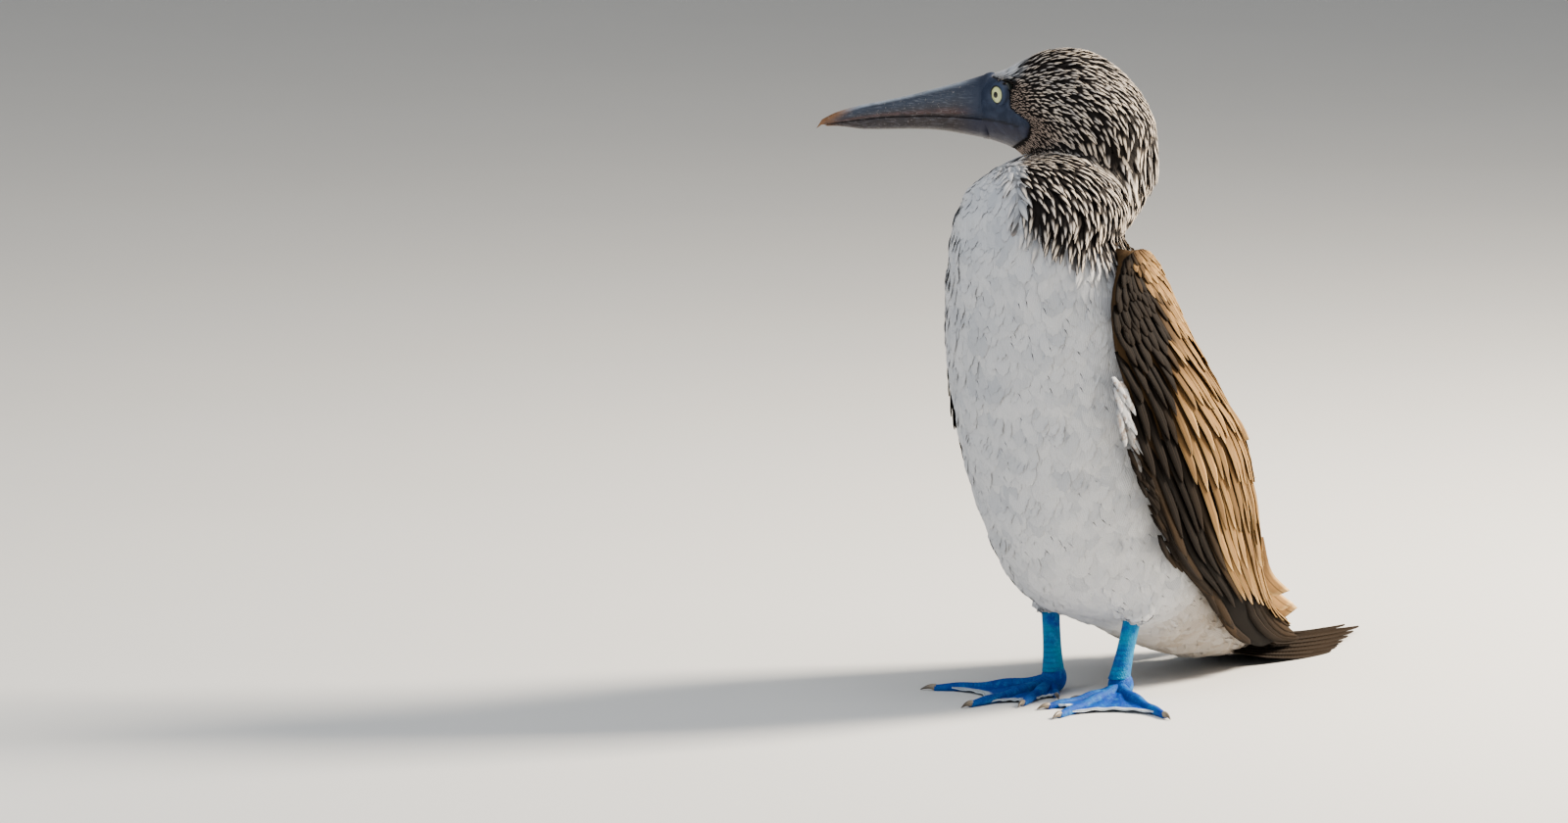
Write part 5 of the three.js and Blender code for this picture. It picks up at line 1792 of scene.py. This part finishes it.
    def claw(self, side, angle, length, tip):
        """A short claw beyond the end of a toe."""
        way = toward_toe(side, angle)
        across = np.array([-way[1], way[0], 0])
        turns = circle(CLAW_SIDES)
        rings, shares = [], []
        for share in np.linspace(0, 0.97, 16):
            thick = tip * 0.8 * (1 - share**1.3 * 0.93)
            reach = length - 1 + (CLAW_LENGTH + 1) * share
            middle = np.array([side * ANKLE_X, 0, tip * 0.78]) + way * reach
            middle[2] += 1.0 * math.sin(math.pi * share) - share * (tip * 0.78 - 0.5)
            ring = middle + np.outer(np.sin(turns) * thick * 0.8, across)
            ring[:, 2] = np.maximum(ring[:, 2] + np.cos(turns) * thick * 0.9, 0.1)
            rings.append(ring)
            shares.append(np.full(CLAW_SIDES, share))
        points, faces = tube(rings)
        return points, faces, np.append(np.concatenate(shares), [0, 1])

    def execute(self, context):
        web_skin = foot_finish("web_skin", colours(), colours().web, 620)
        toe_skin = foot_finish("toe_skin", colours(), colours().toe, 800)
        horn = claw_finish()
        for name, side in SIDES:
            webs = [self.web(side, TOES[k], TOES[k + 1], WEB_SAG[k]) for k in range(3)]
            piece = self.gather("webs_" + name, webs, web_skin)
            settle(piece, "web_skin", "foot_" + name)
            toes = [self.toe(side, *toe) for toe in TOES] + [self.heel(side)]
            piece = self.gather("toes_" + name, toes, toe_skin)
            settle(piece, "web_skin", "foot_" + name)
            for k, (angle, length, _, tip) in enumerate(TOES):
                points, faces, share = self.claw(side, angle, length, tip)
                piece = make_piece(f"claw_horn_{name}_{k + 1}", points, faces, horn, {"share": share})
                settle(piece, "claw_horn", f"claw_{name}_{k + 1}")
        return {"FINISHED"}


class BoobyStage(bpy.types.Operator):
    """Floor, lights and the camera at the photograph's angle"""

    bl_idname = "booby.stage"
    bl_label = "Stage"

    def light(self, name, place, aim, size, power, tint):
        """A square soft light that looks at the aim."""
        lamp = bpy.data.lights.new(name, "AREA")
        lamp.size = size
        lamp.energy = power
        lamp.color = tint
        holder = bpy.data.objects.new(name, lamp)
        holder.location = place
        holder.rotation_euler = (Vector(aim) - Vector(place)).to_track_quat("-Z", "Y").to_euler()
        bpy.context.scene.collection.objects.link(holder)

    def floor(self):
        """A pale floor that turns up into the backdrop far behind."""
        board = Board("studio_floor")
        pale = board.mix(board.cloud(3, 2), *FLOOR_TONES)
        paper = board.surface(Base_Color=pale, Roughness=0.9)
        rows = [(FLOOR_FRONT, 0.0)]
        for k in range(FLOOR_ROWS):
            back = FLOOR_BACK + min(k, FLOOR_LAST_STEP) * FLOOR_STEP
            rise = 0.0 if k < FLOOR_TURNS_UP else (k - FLOOR_TURNS_UP) ** 2 * FLOOR_CURVE
            rows.append((back, rise))
        points = []
        for back, rise in rows:
            for side in np.linspace(-FLOOR_HALF_WIDTH, FLOOR_HALF_WIDTH, FLOOR_COLUMNS):
                spot = -VIEW_BACK * np.array([1, 1, 0]) * back + VIEW_RIGHT * side
                points.append(np.array([spot[0], spot[1], rise]) / MM)
        make_piece("studio_floor", points, grid_faces(len(rows), FLOOR_COLUMNS), paper)

    def execute(self, context):
        scene = context.scene
        self.floor()
        aim = Vector((HOME[0], HOME[1], AIM_HEIGHT))
        for name, right, near, up, size, power, tint in LIGHTS:
            place = aim + Vector(VIEW_RIGHT) * right + Vector(VIEW_BACK) * near + Vector((0, 0, up))
            self.light(name, place, aim, size, power, tint)
        world = bpy.data.worlds.new("studio")
        world.use_nodes = True
        sky = world.node_tree.nodes["Background"]
        sky.inputs[0].default_value = SKY_TINT
        sky.inputs[1].default_value = SKY_STRENGTH
        scene.world = world
        scene.view_settings.look = "AgX - Medium High Contrast"
        lens = bpy.data.cameras.new("camera")
        lens.lens = VIEW_LENS
        lens.sensor_width = 36.0
        lens.clip_end = 60.0
        camera = bpy.data.objects.new("camera", lens)
        target = VIEW_RIGHT * VIEW_MIDDLE[0] + VIEW_UP * VIEW_MIDDLE[1]
        camera.location = (target + VIEW_BACK * VIEW_FAR) * MM + HOME
        camera.rotation_euler = Vector(VIEW_BACK).to_track_quat("Z", "Y").to_euler()
        scene.collection.objects.link(camera)
        scene.camera = camera
        return {"FINISHED"}


STEPS = (BoobySkin, BoobyHackles, BoobyBreast, BoobyMantle, BoobyWings, BoobyTail, BoobyBill, BoobyEyes,
         BoobyLegs, BoobyFeet, BoobyStage)


class BoobyPanel(bpy.types.Panel):
    """Buttons for the pieces, in the order they are made"""

    bl_idname = "VIEW3D_PT_booby"
    bl_label = "Booby"
    bl_space_type = "VIEW_3D"
    bl_region_type = "UI"
    bl_category = "Booby"

    def draw(self, context):
        for step in STEPS:
            self.layout.operator(step.bl_idname)
        for group in (context.scene.booby_coat, context.scene.booby_colours):
            for name in group.bl_rna.properties.keys():
                if name not in ("rna_type", "name"):
                    self.layout.prop(group, name)


CLASSES = (BoobyCoatSizes, BoobyColours, *STEPS, BoobyPanel)


def register():
    for one in CLASSES:
        bpy.utils.register_class(one)
    bpy.types.Scene.booby_coat = PointerProperty(type=BoobyCoatSizes)
    bpy.types.Scene.booby_colours = PointerProperty(type=BoobyColours)


def unregister():
    del bpy.types.Scene.booby_colours
    del bpy.types.Scene.booby_coat
    for one in reversed(CLASSES):
        bpy.utils.unregister_class(one)


def main():
    """Makes every piece and the stage."""
    register()
    for step in STEPS:
        group, name = step.bl_idname.split(".")
        getattr(getattr(bpy.ops, group), name)()


if __name__ == "__main__":
    main()
